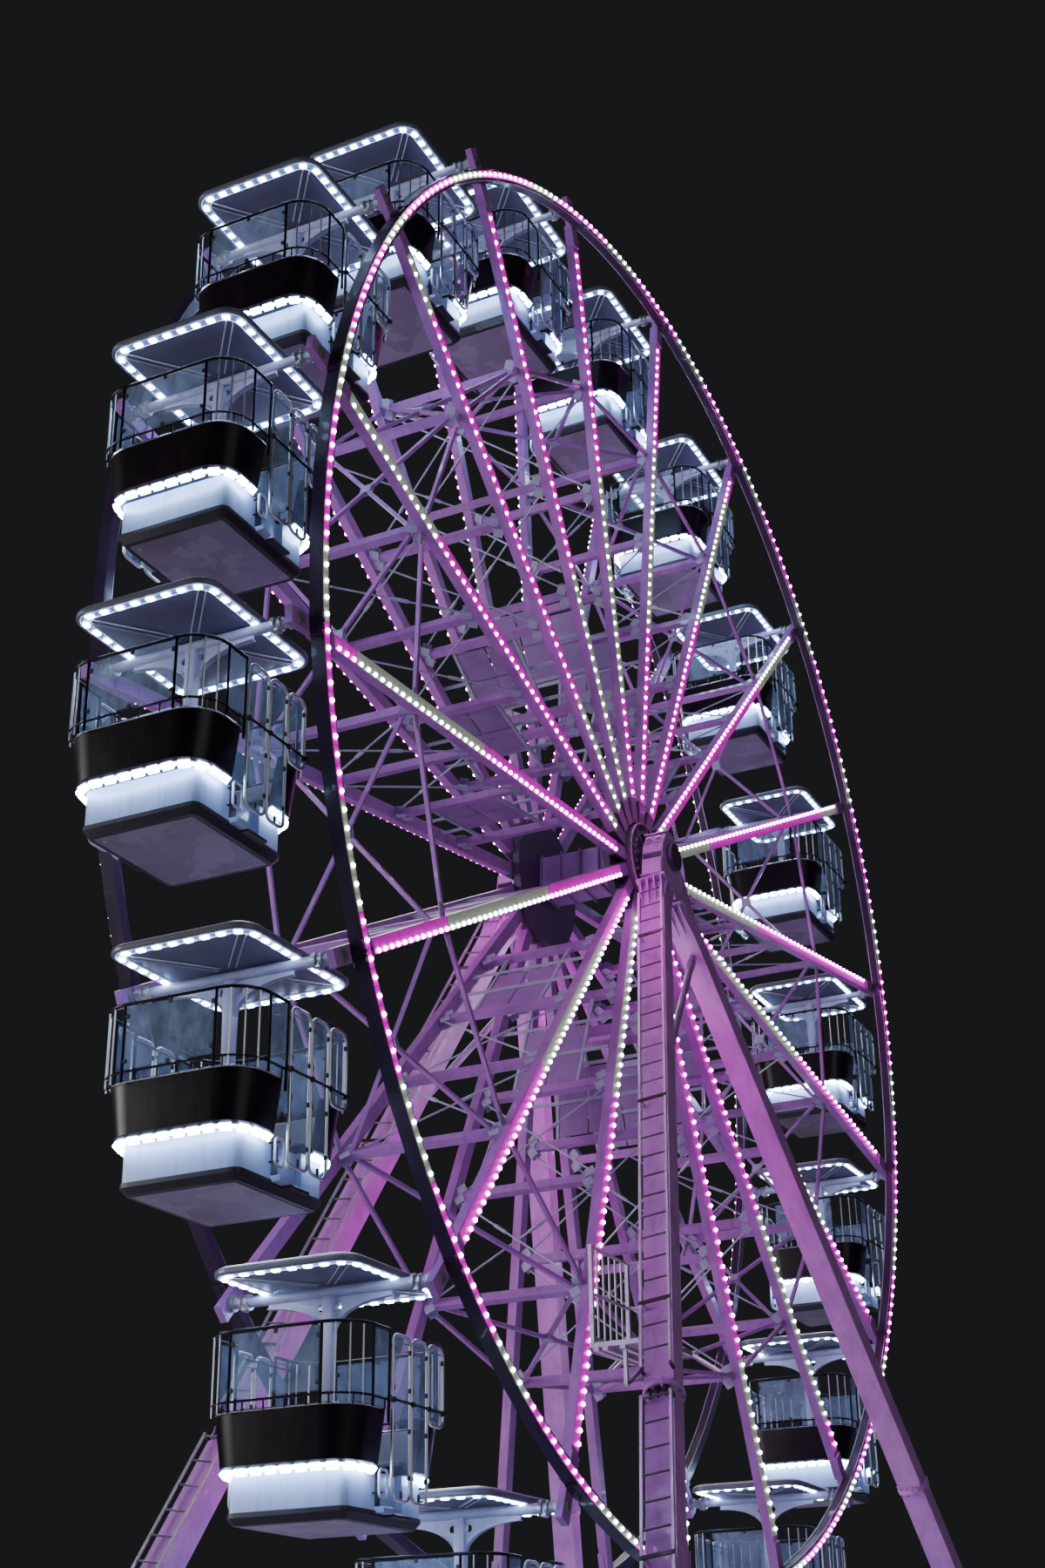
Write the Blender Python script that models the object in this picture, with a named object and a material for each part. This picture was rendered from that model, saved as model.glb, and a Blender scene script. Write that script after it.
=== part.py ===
"""Transportable ferris wheel with eighteen open cabins.

Metres, +Z up. The wheel turns about Y. The origin is on the ground, straight under the hub.
Front is -Y, rear is +Y. Spoke 01 is the first one clockwise from straight up, seen from the front.
"""
import math

import bmesh
import bpy
from mathutils import Matrix, Vector

# Driving dimensions
HUB_HEIGHT = 13.4
SPOKE_COUNT = 18
LAMP_RADIUS = 10.0
PIVOT_RADIUS = 10.24
REST_TURN = math.radians(3.6)
FIT_GAP = 0.0003

# Spokes lean outwards from the hub to the rims
SPOKE_WIDTH = 0.18
SPOKE_DEPTH = 0.12
SPOKE_START_R = 0.62
SPOKE_END_R = 9.95
SPOKE_START_Y = 0.82
SPOKE_END_Y = 1.275
LUG_START_R = 9.60
LUG_END_R = 10.42
LUG_INNER_Y = 1.25
LUG_OUTER_Y = 1.34
LUG_WIDTH = 0.20

# Rims: a box section bent to a ring, outside the spoke lugs
RIM_FACE_Y = 1.50
RIM_INNER_Y = LUG_OUTER_Y + FIT_GAP
RIM_HALF_RADIAL = 0.07
RIM_SIDES = 4 * SPOKE_COUNT

# Struts join the front and the rear spoke of one frame
STRUT_RADII = (2.5, 4.1, 5.7, 7.35)
STRUT_WIDTH = 0.10
STRUT_DEPTH = 0.12
TIE_SIZE = 0.05

# Cabin pivot
PIN_RADIUS = 0.045
PIN_BORE_APOTHEM = 0.0456
PIN_SIDES = 6
PIN_HALF = LUG_OUTER_Y - 0.005
HANGER_TUBE_RADIUS = 0.06
THRUST_GAP = 0.0006
HANGER_TUBE_HALF = LUG_INNER_Y - THRUST_GAP

# Hub and axle
HUB_DRUM_RADIUS = 0.60
HUB_FLANGE_RADIUS = 0.98
HUB_INNER_Y = 0.66
HUB_FLANGE_Y = SPOKE_START_Y - SPOKE_DEPTH / 2 - FIT_GAP
HUB_OUTER_Y = 0.96
SHAFT_RADIUS = 0.20
SHAFT_END_Y = 1.42
AXLE_SIZE = 0.56
HUB_SIDES = 24

# Bearing housings, outlined as (half width, height above the hub line)
BEARING_INNER_Y = 1.02
BEARING_OUTER_Y = 1.34
BEARING_CLEARANCE = 0.0006
BEARING_OUTLINE = ((0.15, -0.62), (0.42, -0.47), (0.31, 0.12), (0.16, 0.34))

# Legs run from the hub line to the feet
FOOT_X = 7.2
FOOT_Y = 3.7
LEG_HEAD_Y = 1.09
LEG_START = 0.62
LEG_WIDTH = 0.30
LEG_DEPTH = 0.34
LEG_OVERRUN = 0.5
HEAD_PLATE_THICKNESS = 0.05
HEAD_PLATE_WIDTH = 0.32
HEAD_PLATE_DEPTH = 0.40
LEG_JOINT = 9.72
LEG_JOINT_RADIUS = 0.235
LEG_JOINT_THICKNESS = 0.07
LEG_JOINT_SIDES = 16

# Base beams and feet
BEAM_SIZE = 0.30
BEAM_BOTTOM = 0.10
BEAM_TOP = BEAM_BOTTOM + BEAM_SIZE
BEAM_OVERHANG = 0.45
FOOT_PLATE_HALF = 0.28
FOOT_PLATE_THICKNESS = 0.04
PAD_HALF = 0.35
PAD_THICKNESS = 0.03
PAD_STEM_HALF = 0.12

# Ladders on the outer faces of the left legs
LADDER_WIDTH = 0.38
LADDER_RAIL = 0.04
LADDER_THICKNESS = 0.03
LADDER_PITCH = 0.33
LADDER_START = 1.0
LADDER_END = 14.2
LADDER_STANDOFF = 0.09
RUNG_HEIGHT = 0.03
STANDOFF_DISTANCES = (2.0, 5.3, 8.6, 11.9)
STANDOFF_WIDTH = 0.05
STANDOFF_DEPTH = 0.03

# Service platform beside the front left leg
PLATFORM_DISTANCE = 9.02
PLATFORM_LENGTH = 1.09
PLATFORM_REACH = 0.63
PLATFORM_START_X = -0.22
PLATFORM_THICKNESS = 0.06
PLATFORM_RAIL_HEIGHT = 1.1
PLATFORM_POST = 0.05
PLATFORM_POST_INSET = 0.03
PLATFORM_RAIL = 0.035
PLATFORM_BALUSTER = 0.03
PLATFORM_LEG_CLEAR = 0.28

# Cabin, heights from its pivot
CANOPY_HALF_X = 1.08
CANOPY_HALF_Y = 0.90
CANOPY_CORNER = 0.28
CANOPY_BOTTOM = 0.055
CANOPY_EDGE_TOP = 0.16
CANOPY_TOP = 0.21
CANOPY_SLOPE = 0.12
RAIL_TOP = -0.53
BOWL_TOP = -1.33
BOWL_BOTTOM = -1.87
SEAT_TOP = -1.77
FLOOR_TOP = -2.26
FLOOR_BOTTOM = -2.38
POST_TOP_HALF = 0.065
POST_FOOT_HALF = 0.045
DOOR_WIDTH = 0.72
DOOR_INNER_Y = 0.88
DOOR_OUTER_Y = 0.96
DOOR_TOP = -0.57
DOOR_BOTTOM = -2.18
GUSSET_HALF_THICKNESS = 0.012

# Web under the hanger tube as (reach along Y, height), curving in to the post
GUSSET_OUTLINE = ((0.06, -0.40), (0.13, -0.25), (0.35, -0.15), (0.76, -0.09), (0.76, -0.02))

# Cabin skin as (half x, half y, corner radius, height), up the outside and down the inside
CABIN_OUTSIDE = (
    (0.76, 0.68, 0.08, FLOOR_BOTTOM),
    (0.77, 0.69, 0.08, BOWL_BOTTOM),
    (0.97, 0.80, 0.34, BOWL_BOTTOM + 0.01),
    (1.00, 0.88, 0.38, BOWL_TOP),
    (1.04, 0.92, 0.38, RAIL_TOP),
)
CABIN_INSIDE = (
    (1.00, 0.88, 0.34, RAIL_TOP),
    (0.90, 0.76, 0.30, SEAT_TOP),
    (0.42, 0.60, 0.08, SEAT_TOP),
    (0.42, 0.60, 0.08, FLOOR_TOP),
)


def clear_scene():
    for item in list(bpy.data.objects):
        bpy.data.objects.remove(item, do_unlink=True)


def new_collection(name):
    made = bpy.data.collections.new(name)
    bpy.context.scene.collection.children.link(made)
    return made


def new_material(name, colour, roughness, metallic):
    made = bpy.data.materials.new(name)
    made.use_nodes = True
    shader = made.node_tree.nodes["Principled BSDF"]
    shader.inputs["Base Color"].default_value = (*colour, 1.0)
    shader.inputs["Roughness"].default_value = roughness
    shader.inputs["Metallic"].default_value = metallic
    return made


def add_object(name, mesh, finish, group):
    made = bpy.data.objects.new(name, mesh)
    if not mesh.materials:
        mesh.materials.append(finish)
    group.objects.link(made)
    return made


def mesh_from(bm, name):
    bmesh.ops.recalc_face_normals(bm, faces=bm.faces)
    mesh = bpy.data.meshes.new(name)
    bm.to_mesh(mesh)
    bm.free()
    return mesh


def frame_matrix(start, end, side):
    """Matrix with Z from start to end, X along side, and its origin at the middle."""
    along = (end - start).normalized()
    across = (side - along * side.dot(along)).normalized()
    third = along.cross(across)
    turn = Matrix((across, third, along)).transposed().to_4x4()
    return Matrix.Translation((start + end) / 2) @ turn


def add_bar(bm, start, end, width, depth, side):
    """Box beam: width is measured along side, depth across it."""
    start = Vector(start)
    end = Vector(end)
    size = Matrix.Diagonal((width, depth, (end - start).length, 1.0))
    bmesh.ops.create_cube(bm, size=1.0, matrix=frame_matrix(start, end, Vector(side)) @ size)


def add_rod(bm, start, end, radius, sides):
    start = Vector(start)
    end = Vector(end)
    side = Vector((1, 0, 0)) if abs((end - start).normalized().x) < 0.9 else Vector((0, 0, 1))
    bmesh.ops.create_cone(
        bm, cap_ends=True, segments=sides, radius1=radius, radius2=radius,
        depth=(end - start).length, matrix=frame_matrix(start, end, side))


def add_box(bm, low, high):
    low = Vector(low)
    high = Vector(high)
    size = Matrix.Diagonal((*(high - low), 1.0))
    bmesh.ops.create_cube(bm, size=1.0, matrix=Matrix.Translation((low + high) / 2) @ size)


def box_mesh(low, high, name):
    bm = bmesh.new()
    add_box(bm, low, high)
    return mesh_from(bm, name)


def add_loft(bm, rings):
    """Closed skin over rings of equal point counts, capped at both ends."""
    made = [[bm.verts.new(point) for point in ring] for ring in rings]
    count = len(made[0])
    for lower, upper in zip(made, made[1:]):
        for index in range(count):
            after = (index + 1) % count
            bm.faces.new((lower[index], lower[after], upper[after], upper[index]))
    bm.faces.new(reversed(made[0]))
    bm.faces.new(made[-1])


def square_ring(half_x, half_y, z):
    return [(-half_x, -half_y, z), (half_x, -half_y, z), (half_x, half_y, z), (-half_x, half_y, z)]


def rounded_ring(half_x, half_y, radius, z, steps=2):
    """Points round a level rectangle with arcs at its corners."""
    points = []
    for corner, (sign_x, sign_y) in enumerate(((1, 1), (-1, 1), (-1, -1), (1, -1))):
        centre_x = sign_x * (half_x - radius)
        centre_y = sign_y * (half_y - radius)
        for step in range(steps + 1):
            angle = math.pi / 2 * (corner + step / steps)
            points.append((
                centre_x + radius * math.cos(angle), centre_y + radius * math.sin(angle), z))
    return points


def fused(base, operands, operation, name, cutters):
    """Mesh of base with the operands joined to it or cut from it."""
    holder = bpy.data.objects.new(name, base)
    bpy.context.scene.collection.objects.link(holder)
    for number, mesh in enumerate(operands):
        tool = bpy.data.objects.new(f"{name}_tool_{number}", mesh)
        tool.hide_render = True
        tool.display_type = "WIRE"
        cutters.objects.link(tool)
        step = holder.modifiers.new(f"step_{number}", "BOOLEAN")
        step.operation = operation
        step.solver = "EXACT"
        step.use_self = True
        step.object = tool
    bpy.context.view_layer.update()
    graph = bpy.context.evaluated_depsgraph_get()
    result = bpy.data.meshes.new_from_object(holder.evaluated_get(graph))
    result.name = name
    bpy.data.objects.remove(holder, do_unlink=True)
    return result


def spun(points, closed, sides, name):
    """Solid of revolution about Y from (radius, y) points, ring-shaped if they close."""
    bm = bmesh.new()
    verts = [bm.verts.new((radius, y, 0)) for radius, y in points]
    pairs = list(zip(verts, verts[1:]))
    if closed:
        pairs.append((verts[-1], verts[0]))
    edges = [bm.edges.new(pair) for pair in pairs]
    bmesh.ops.spin(
        bm, geom=verts + edges, cent=(0, 0, 0), axis=(0, 1, 0),
        angle=2 * math.pi, steps=sides, use_merge=True)
    bmesh.ops.remove_doubles(bm, verts=bm.verts, dist=0.0001)
    return mesh_from(bm, name)


# Wheel

def spoke_angle(index):
    """Angle of a spoke clockwise from straight up, seen from the front."""
    return REST_TURN + index * 2 * math.pi / SPOKE_COUNT


def spoke_y(radius):
    share = (radius - SPOKE_START_R) / (SPOKE_END_R - SPOKE_START_R)
    return SPOKE_START_Y + (SPOKE_END_Y - SPOKE_START_Y) * share


def polar(radius, y, angle):
    """Point on the wheel with its hub at the origin."""
    return Vector((radius * math.sin(angle), y, radius * math.cos(angle)))


def rim_mesh(side):
    inner = LAMP_RADIUS - RIM_HALF_RADIAL
    outer = LAMP_RADIUS + RIM_HALF_RADIAL
    near = side * RIM_INNER_Y
    face = side * RIM_FACE_Y
    return spun(((inner, near), (outer, near), (outer, face), (inner, face)), True, RIM_SIDES, "rim")


def hub_mesh(side):
    outline = (
        (0, HUB_INNER_Y),
        (HUB_FLANGE_RADIUS, HUB_INNER_Y),
        (HUB_FLANGE_RADIUS, HUB_FLANGE_Y),
        (HUB_DRUM_RADIUS, HUB_FLANGE_Y),
        (HUB_DRUM_RADIUS, HUB_OUTER_Y),
        (SHAFT_RADIUS, HUB_OUTER_Y),
        (SHAFT_RADIUS, SHAFT_END_Y),
        (0, SHAFT_END_Y),
    )
    return spun([(radius, side * y) for radius, y in outline], False, HUB_SIDES, "hub")


def add_brace(bm, start, target, next_offset, side):
    """Square bar from one frame that stops just short of the next frame's side face."""
    across = polar(1, 0, math.pi / 2 + 2 * math.pi / SPOKE_COUNT)
    along = (target - start).normalized()
    turn = frame_matrix(start, target, side).to_3x3()
    corner = TIE_SIZE / 2 * (abs(turn.col[0].dot(across)) + abs(turn.col[1].dot(across)))
    trim = (next_offset + FIT_GAP + corner) / along.dot(across)
    add_bar(bm, start, target - along * trim, TIE_SIZE, TIE_SIZE, side)


def spoke_frame_mesh(cutters):
    """Front and rear spoke, their struts, and the bracing that reaches to the next frame."""
    tangent = (1, 0, 0)
    next_turn = 2 * math.pi / SPOKE_COUNT
    brace_radius = STRUT_RADII[-1]
    bars = bmesh.new()
    crosses = bmesh.new()
    bores = bmesh.new()
    cross_y = spoke_y(brace_radius) - SPOKE_DEPTH - TIE_SIZE
    bore_radius = PIN_BORE_APOTHEM / math.cos(math.pi / PIN_SIDES)
    for side in (-1, 1):
        add_bar(
            bars, (0, side * SPOKE_START_Y, SPOKE_START_R), (0, side * SPOKE_END_Y, SPOKE_END_R),
            SPOKE_WIDTH, SPOKE_DEPTH, tangent)
        near, far = sorted((side * LUG_INNER_Y, side * LUG_OUTER_Y))
        add_box(bars, (-LUG_WIDTH / 2, near, LUG_START_R), (LUG_WIDTH / 2, far, LUG_END_R))
        tie_y = side * (spoke_y(brace_radius) - TIE_SIZE)
        add_brace(
            bars, polar(brace_radius, tie_y, 0), polar(brace_radius, tie_y, next_turn),
            SPOKE_WIDTH / 2, Vector((0, 1, 0)))
        add_brace(
            crosses, polar(brace_radius, side * cross_y, 0),
            polar(brace_radius, -side * cross_y, next_turn), STRUT_WIDTH / 2, Vector((0, 0, 1)))
        add_rod(
            bores, (0, near - LUG_WIDTH, PIVOT_RADIUS), (0, far + LUG_WIDTH, PIVOT_RADIUS),
            bore_radius, PIN_SIDES)
    for radius in STRUT_RADII:
        half = spoke_y(radius) - SPOKE_DEPTH / 4
        add_bar(bars, (0, -half, radius), (0, half, radius), STRUT_WIDTH, STRUT_DEPTH, tangent)
    base = mesh_from(bars, "frame_bars")
    joined = fused(base, [mesh_from(crosses, "frame_crosses")], "UNION", "frame_joined", cutters)
    return fused(joined, [mesh_from(bores, "pivot_bores")], "DIFFERENCE", "spoke_frame", cutters)


# Cabin

def cabin_mesh(cutters):
    """One cabin about its pivot: canopy, hanger, rail, bowl with two benches, tub and doors."""
    skin = bmesh.new()
    add_loft(skin, [
        rounded_ring(CANOPY_HALF_X, CANOPY_HALF_Y, CANOPY_CORNER, CANOPY_BOTTOM),
        rounded_ring(CANOPY_HALF_X, CANOPY_HALF_Y, CANOPY_CORNER, CANOPY_EDGE_TOP),
        rounded_ring(
            CANOPY_HALF_X - CANOPY_SLOPE, CANOPY_HALF_Y - CANOPY_SLOPE,
            CANOPY_CORNER - CANOPY_SLOPE / 2, CANOPY_TOP),
    ])
    add_loft(skin, [rounded_ring(*ring) for ring in CABIN_OUTSIDE + CABIN_INSIDE])
    for side in (-1, 1):
        near, far = sorted((side * DOOR_INNER_Y, side * DOOR_OUTER_Y))
        add_box(skin, (-DOOR_WIDTH / 2, near, DOOR_BOTTOM), (DOOR_WIDTH / 2, far, DOOR_TOP))

    hanger = bmesh.new()
    for half, radius in ((HANGER_TUBE_HALF, HANGER_TUBE_RADIUS), (PIN_HALF, PIN_RADIUS)):
        add_rod(hanger, (0, -half, 0), (0, half, 0), radius, PIN_SIDES)
    add_loft(hanger, [
        square_ring(POST_FOOT_HALF, POST_FOOT_HALF, (FLOOR_TOP + FLOOR_BOTTOM) / 2),
        square_ring(POST_TOP_HALF, POST_TOP_HALF, (CANOPY_BOTTOM + CANOPY_EDGE_TOP) / 2),
    ])
    add_loft(hanger, [
        square_ring(GUSSET_HALF_THICKNESS, reach, z) for reach, z in GUSSET_OUTLINE])
    return fused(
        mesh_from(skin, "cabin_skin"), [mesh_from(hanger, "cabin_hanger")], "UNION", "cabin", cutters)


# Legs and what they carry

def leg_line(side_x, side_y):
    """The two ends of a leg's centre line, at the hub line and on the base beam."""
    head = Vector((0, side_y * LEG_HEAD_Y, HUB_HEIGHT))
    foot = Vector((side_x * FOOT_X, side_y * FOOT_Y, BEAM_TOP))
    return head, foot


def leg_directions(side_x, side_y):
    """Unit vectors of a leg: down it, outwards over its upper face, and sideways."""
    head, foot = leg_line(side_x, side_y)
    along = (foot - head).normalized()
    sideways = Vector((0, side_y, 0))
    sideways = (sideways - along * sideways.dot(along)).normalized()
    outwards = along.cross(sideways)
    if outwards.x * side_x < 0:
        outwards = -outwards
    return along, outwards, sideways


def add_leg_bars(bm, side_x, side_y, gap):
    """A leg's beam and head plate, each grown by gap for use as a cutter."""
    head, foot = leg_line(side_x, side_y)
    along, outwards, _ = leg_directions(side_x, side_y)
    start = head + along * (LEG_START - gap)
    plate_end = head + along * (LEG_START + HEAD_PLATE_THICKNESS + gap)
    add_bar(
        bm, start, foot + along * LEG_OVERRUN, LEG_WIDTH + 2 * gap, LEG_DEPTH + 2 * gap, outwards)
    add_bar(
        bm, start, plate_end, HEAD_PLATE_WIDTH + 2 * gap, HEAD_PLATE_DEPTH + 2 * gap, outwards)


def bearing_mesh(side_y, cutters):
    """Housing round the shaft, seated on the two leg heads below it."""
    near, far = sorted((side_y * BEARING_INNER_Y, side_y * BEARING_OUTER_Y))
    body = bmesh.new()
    add_loft(body, [
        [(-half, near, z), (half, near, z), (half, far, z), (-half, far, z)]
        for half, z in ((half, HUB_HEIGHT + height) for half, height in BEARING_OUTLINE)
    ])
    bore = bmesh.new()
    bore_radius = (SHAFT_RADIUS + BEARING_CLEARANCE) / math.cos(math.pi / HUB_SIDES)
    add_rod(
        bore, (0, near - SHAFT_RADIUS, HUB_HEIGHT), (0, far + SHAFT_RADIUS, HUB_HEIGHT),
        bore_radius, HUB_SIDES)
    seats = []
    for side_x in (-1, 1):
        seat = bmesh.new()
        add_leg_bars(seat, side_x, side_y, FIT_GAP)
        seats.append(mesh_from(seat, "bearing_seat"))
    cuts = [mesh_from(bore, "bearing_bore"), *seats]
    return fused(mesh_from(body, "bearing_body"), cuts, "DIFFERENCE", "bearing", cutters)


def leg_mesh(side_x, side_y, with_ladder, cutters):
    head, _ = leg_line(side_x, side_y)
    along, outwards, sideways = leg_directions(side_x, side_y)
    beam = bmesh.new()
    add_leg_bars(beam, side_x, side_y, 0)

    fittings = bmesh.new()
    joint = head + along * LEG_JOINT
    half = along * (LEG_JOINT_THICKNESS / 2)
    add_rod(fittings, joint - half, joint + half, LEG_JOINT_RADIUS, LEG_JOINT_SIDES)
    if with_ladder:
        reach = LEG_WIDTH / 2 + LADDER_STANDOFF - FIT_GAP
        offset = (LADDER_WIDTH - LADDER_RAIL - STANDOFF_WIDTH) / 2
        for distance in STANDOFF_DISTANCES:
            for shift in (-offset, offset):
                start = head + along * distance + sideways * shift
                add_bar(
                    fittings, start, start + outwards * reach, STANDOFF_WIDTH, STANDOFF_DEPTH, along)
    joined = fused(
        mesh_from(beam, "leg_beam"), [mesh_from(fittings, "leg_fittings")], "UNION",
        "leg_joined", cutters)

    below = box_mesh(
        (-2 * FOOT_X, -2 * FOOT_Y, -LEG_OVERRUN),
        (2 * FOOT_X, 2 * FOOT_Y, BEAM_TOP + FOOT_PLATE_THICKNESS / 2), "below_foot")
    trimmed = fused(joined, [below], "DIFFERENCE", "leg_trimmed", cutters)
    foot_x = side_x * FOOT_X
    foot_y = side_y * FOOT_Y
    plate = box_mesh(
        (foot_x - FOOT_PLATE_HALF, foot_y - FOOT_PLATE_HALF, BEAM_TOP + FIT_GAP),
        (foot_x + FOOT_PLATE_HALF, foot_y + FOOT_PLATE_HALF, BEAM_TOP + FOOT_PLATE_THICKNESS),
        "foot_plate")
    return fused(trimmed, [plate], "UNION", "leg", cutters)


def ladder_mesh(side_x, side_y, cutters):
    """Flat plate with one opening between each pair of rungs, laid over the leg."""
    half = LADDER_WIDTH / 2
    thick = LADDER_THICKNESS / 2
    gaps = int((LADDER_END - LADDER_START) / LADDER_PITCH)
    plate = box_mesh(
        (-half, 0, -thick), (half, gaps * LADDER_PITCH + RUNG_HEIGHT, thick), "ladder_plate")
    openings = bmesh.new()
    for number in range(gaps):
        low = number * LADDER_PITCH + RUNG_HEIGHT
        high = (number + 1) * LADDER_PITCH
        add_box(
            openings, (LADDER_RAIL - half, low, -2 * thick), (half - LADDER_RAIL, high, 2 * thick))
    mesh = fused(plate, [mesh_from(openings, "ladder_openings")], "DIFFERENCE", "ladder", cutters)
    head, _ = leg_line(side_x, side_y)
    along, outwards, sideways = leg_directions(side_x, side_y)
    lift = LEG_WIDTH / 2 + LADDER_STANDOFF + thick
    turn = Matrix((sideways, along, sideways.cross(along))).transposed().to_4x4()
    mesh.transform(Matrix.Translation(head + along * LADDER_START + outwards * lift) @ turn)
    return mesh


def platform_mesh(cutters):
    """Small floor on the wheel side of the front left leg, railed but for its ladder side."""
    head, _ = leg_line(-1, -1)
    along, _, _ = leg_directions(-1, -1)
    at_leg = head + along * PLATFORM_DISTANCE
    low = at_leg + Vector((PLATFORM_START_X, 0, 0))
    high = low + Vector((PLATFORM_LENGTH, LEG_DEPTH / 2 + PLATFORM_REACH, PLATFORM_THICKNESS))
    floor = box_mesh(low, high, "platform_floor")

    rails = bmesh.new()
    left = low.x + PLATFORM_POST_INSET
    right = high.x - PLATFORM_POST_INSET
    far = high.y - PLATFORM_POST_INSET
    near = low.y + LEG_DEPTH / 2 + PLATFORM_LEG_CLEAR
    middle = ((left + right) / 2, far)
    corners = ((left, far), (right, far), (right, near))
    foot = (low.z + high.z) / 2
    top = high.z + PLATFORM_RAIL_HEIGHT
    for x, y in corners:
        add_bar(rails, (x, y, foot), (x, y, top), PLATFORM_POST, PLATFORM_POST, (1, 0, 0))
    add_bar(
        rails, (*middle, foot), (*middle, top - PLATFORM_RAIL / 2), PLATFORM_BALUSTER,
        PLATFORM_BALUSTER, (1, 0, 0))
    for z in (top - PLATFORM_POST / 2, (top + high.z) / 2):
        for start, end in zip(corners, corners[1:]):
            add_bar(rails, (*start, z), (*end, z), PLATFORM_RAIL, PLATFORM_RAIL, (0, 0, 1))
    joined = fused(
        floor, [mesh_from(rails, "platform_rails")], "UNION", "platform_joined", cutters)
    seat = bmesh.new()
    add_leg_bars(seat, -1, -1, FIT_GAP)
    return fused(joined, [mesh_from(seat, "platform_seat")], "DIFFERENCE", "platform", cutters)


def side_beam_mesh(side_x, cutters):
    """Beam along Y under two legs, on two foot pads."""
    half = BEAM_SIZE / 2
    centre = side_x * FOOT_X
    reach = FOOT_Y + BEAM_OVERHANG
    beam = box_mesh((centre - half, -reach, BEAM_BOTTOM), (centre + half, reach, BEAM_TOP), "beam")
    pads = bmesh.new()
    for y in (-FOOT_Y, FOOT_Y):
        add_box(
            pads, (centre - PAD_HALF, y - PAD_HALF, 0),
            (centre + PAD_HALF, y + PAD_HALF, PAD_THICKNESS))
        add_box(
            pads, (centre - PAD_STEM_HALF, y - PAD_STEM_HALF, PAD_THICKNESS / 2),
            (centre + PAD_STEM_HALF, y + PAD_STEM_HALF, BEAM_BOTTOM + half))
    return fused(beam, [mesh_from(pads, "pads")], "UNION", "side_beam", cutters)


def long_beam_mesh(side_y):
    """Beam along X between the two side beams."""
    half = BEAM_SIZE / 2
    reach = FOOT_X - half - FIT_GAP
    middle = side_y * FOOT_Y
    return box_mesh(
        (-reach, middle - half, BEAM_BOTTOM), (reach, middle + half, BEAM_TOP), "long_beam")


def build():
    clear_scene()
    parts = new_collection("ferris_wheel")
    cutters = new_collection("cutters")
    white = new_material("white_steel", (0.78, 0.76, 0.82), 0.42, 0.0)
    dark = new_material("dark_rim", (0.025, 0.024, 0.03), 0.35, 0.0)
    shell = new_material("cabin_shell", (0.62, 0.62, 0.68), 0.35, 0.0)
    zinc = new_material("zinc_steel", (0.46, 0.45, 0.48), 0.5, 1.0)
    machined = new_material("hub_steel", (0.30, 0.29, 0.33), 0.45, 0.6)

    wheel_centre = bpy.data.objects.new("wheel_centre", None)
    wheel_centre.location = (0, 0, HUB_HEIGHT)
    parts.objects.link(wheel_centre)

    def on_wheel(name, mesh, finish, turn=0.0):
        made = add_object(name, mesh, finish, parts)
        made.parent = wheel_centre
        made.rotation_euler = (0, turn, 0)

    half = AXLE_SIZE / 2
    reach = HUB_INNER_Y - FIT_GAP
    axle = box_mesh((-half, -reach, -half), (half, reach, half), "axle_beam")
    on_wheel("axle_beam", axle, white, REST_TURN)
    frame_shape = spoke_frame_mesh(cutters)
    cabin_shape = cabin_mesh(cutters)
    for index in range(SPOKE_COUNT):
        number = f"{index + 1:02d}"
        turn = spoke_angle(index)
        on_wheel(f"spoke_frame_{number}", frame_shape, white, turn)
        hanging = add_object(f"cabin_{number}", cabin_shape, shell, parts)
        hanging.location = polar(PIVOT_RADIUS, 0, turn) + Vector((0, 0, HUB_HEIGHT))

    for side_y, end_name in ((-1, "front"), (1, "rear")):
        on_wheel(f"rim_{end_name}", rim_mesh(side_y), dark)
        # Half a facet of turn puts the shaft's edges on the middle of the bore's faces
        on_wheel(f"hub_{end_name}", hub_mesh(side_y), machined, math.pi / HUB_SIDES)
        add_object(f"bearing_{end_name}", bearing_mesh(side_y, cutters), machined, parts)
        add_object(f"base_beam_{end_name}", long_beam_mesh(side_y), white, parts)
        add_object(f"ladder_{end_name}", ladder_mesh(-1, side_y, cutters), zinc, parts)
        for side_x, side_name in ((-1, "left"), (1, "right")):
            leg = leg_mesh(side_x, side_y, side_x < 0, cutters)
            add_object(f"leg_{end_name}_{side_name}", leg, white, parts)
    for side_x, side_name in ((-1, "left"), (1, "right")):
        add_object(f"base_beam_{side_name}", side_beam_mesh(side_x, cutters), white, parts)
    add_object("service_platform", platform_mesh(cutters), zinc, parts)


build()
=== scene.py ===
import math

import bmesh
import bpy
from mathutils import Matrix, Vector


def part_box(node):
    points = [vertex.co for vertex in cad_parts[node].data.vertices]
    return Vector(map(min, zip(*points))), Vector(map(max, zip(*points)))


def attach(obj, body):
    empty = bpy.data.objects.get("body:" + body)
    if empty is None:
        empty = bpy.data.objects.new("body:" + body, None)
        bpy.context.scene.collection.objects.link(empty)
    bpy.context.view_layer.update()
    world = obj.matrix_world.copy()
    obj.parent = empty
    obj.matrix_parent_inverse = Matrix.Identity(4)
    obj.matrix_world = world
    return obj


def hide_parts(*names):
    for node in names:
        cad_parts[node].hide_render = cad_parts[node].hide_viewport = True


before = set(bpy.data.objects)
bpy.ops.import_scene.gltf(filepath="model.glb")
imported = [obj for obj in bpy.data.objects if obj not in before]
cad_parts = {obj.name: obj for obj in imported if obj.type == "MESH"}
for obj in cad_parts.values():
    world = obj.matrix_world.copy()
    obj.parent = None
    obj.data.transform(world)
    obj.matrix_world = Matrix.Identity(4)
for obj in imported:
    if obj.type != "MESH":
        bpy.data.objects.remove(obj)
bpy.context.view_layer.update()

# Places and sizes shared with the steelwork, in metres
HUB = Vector((0, 0, 13.4))
SPOKE_COUNT = 18
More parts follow.
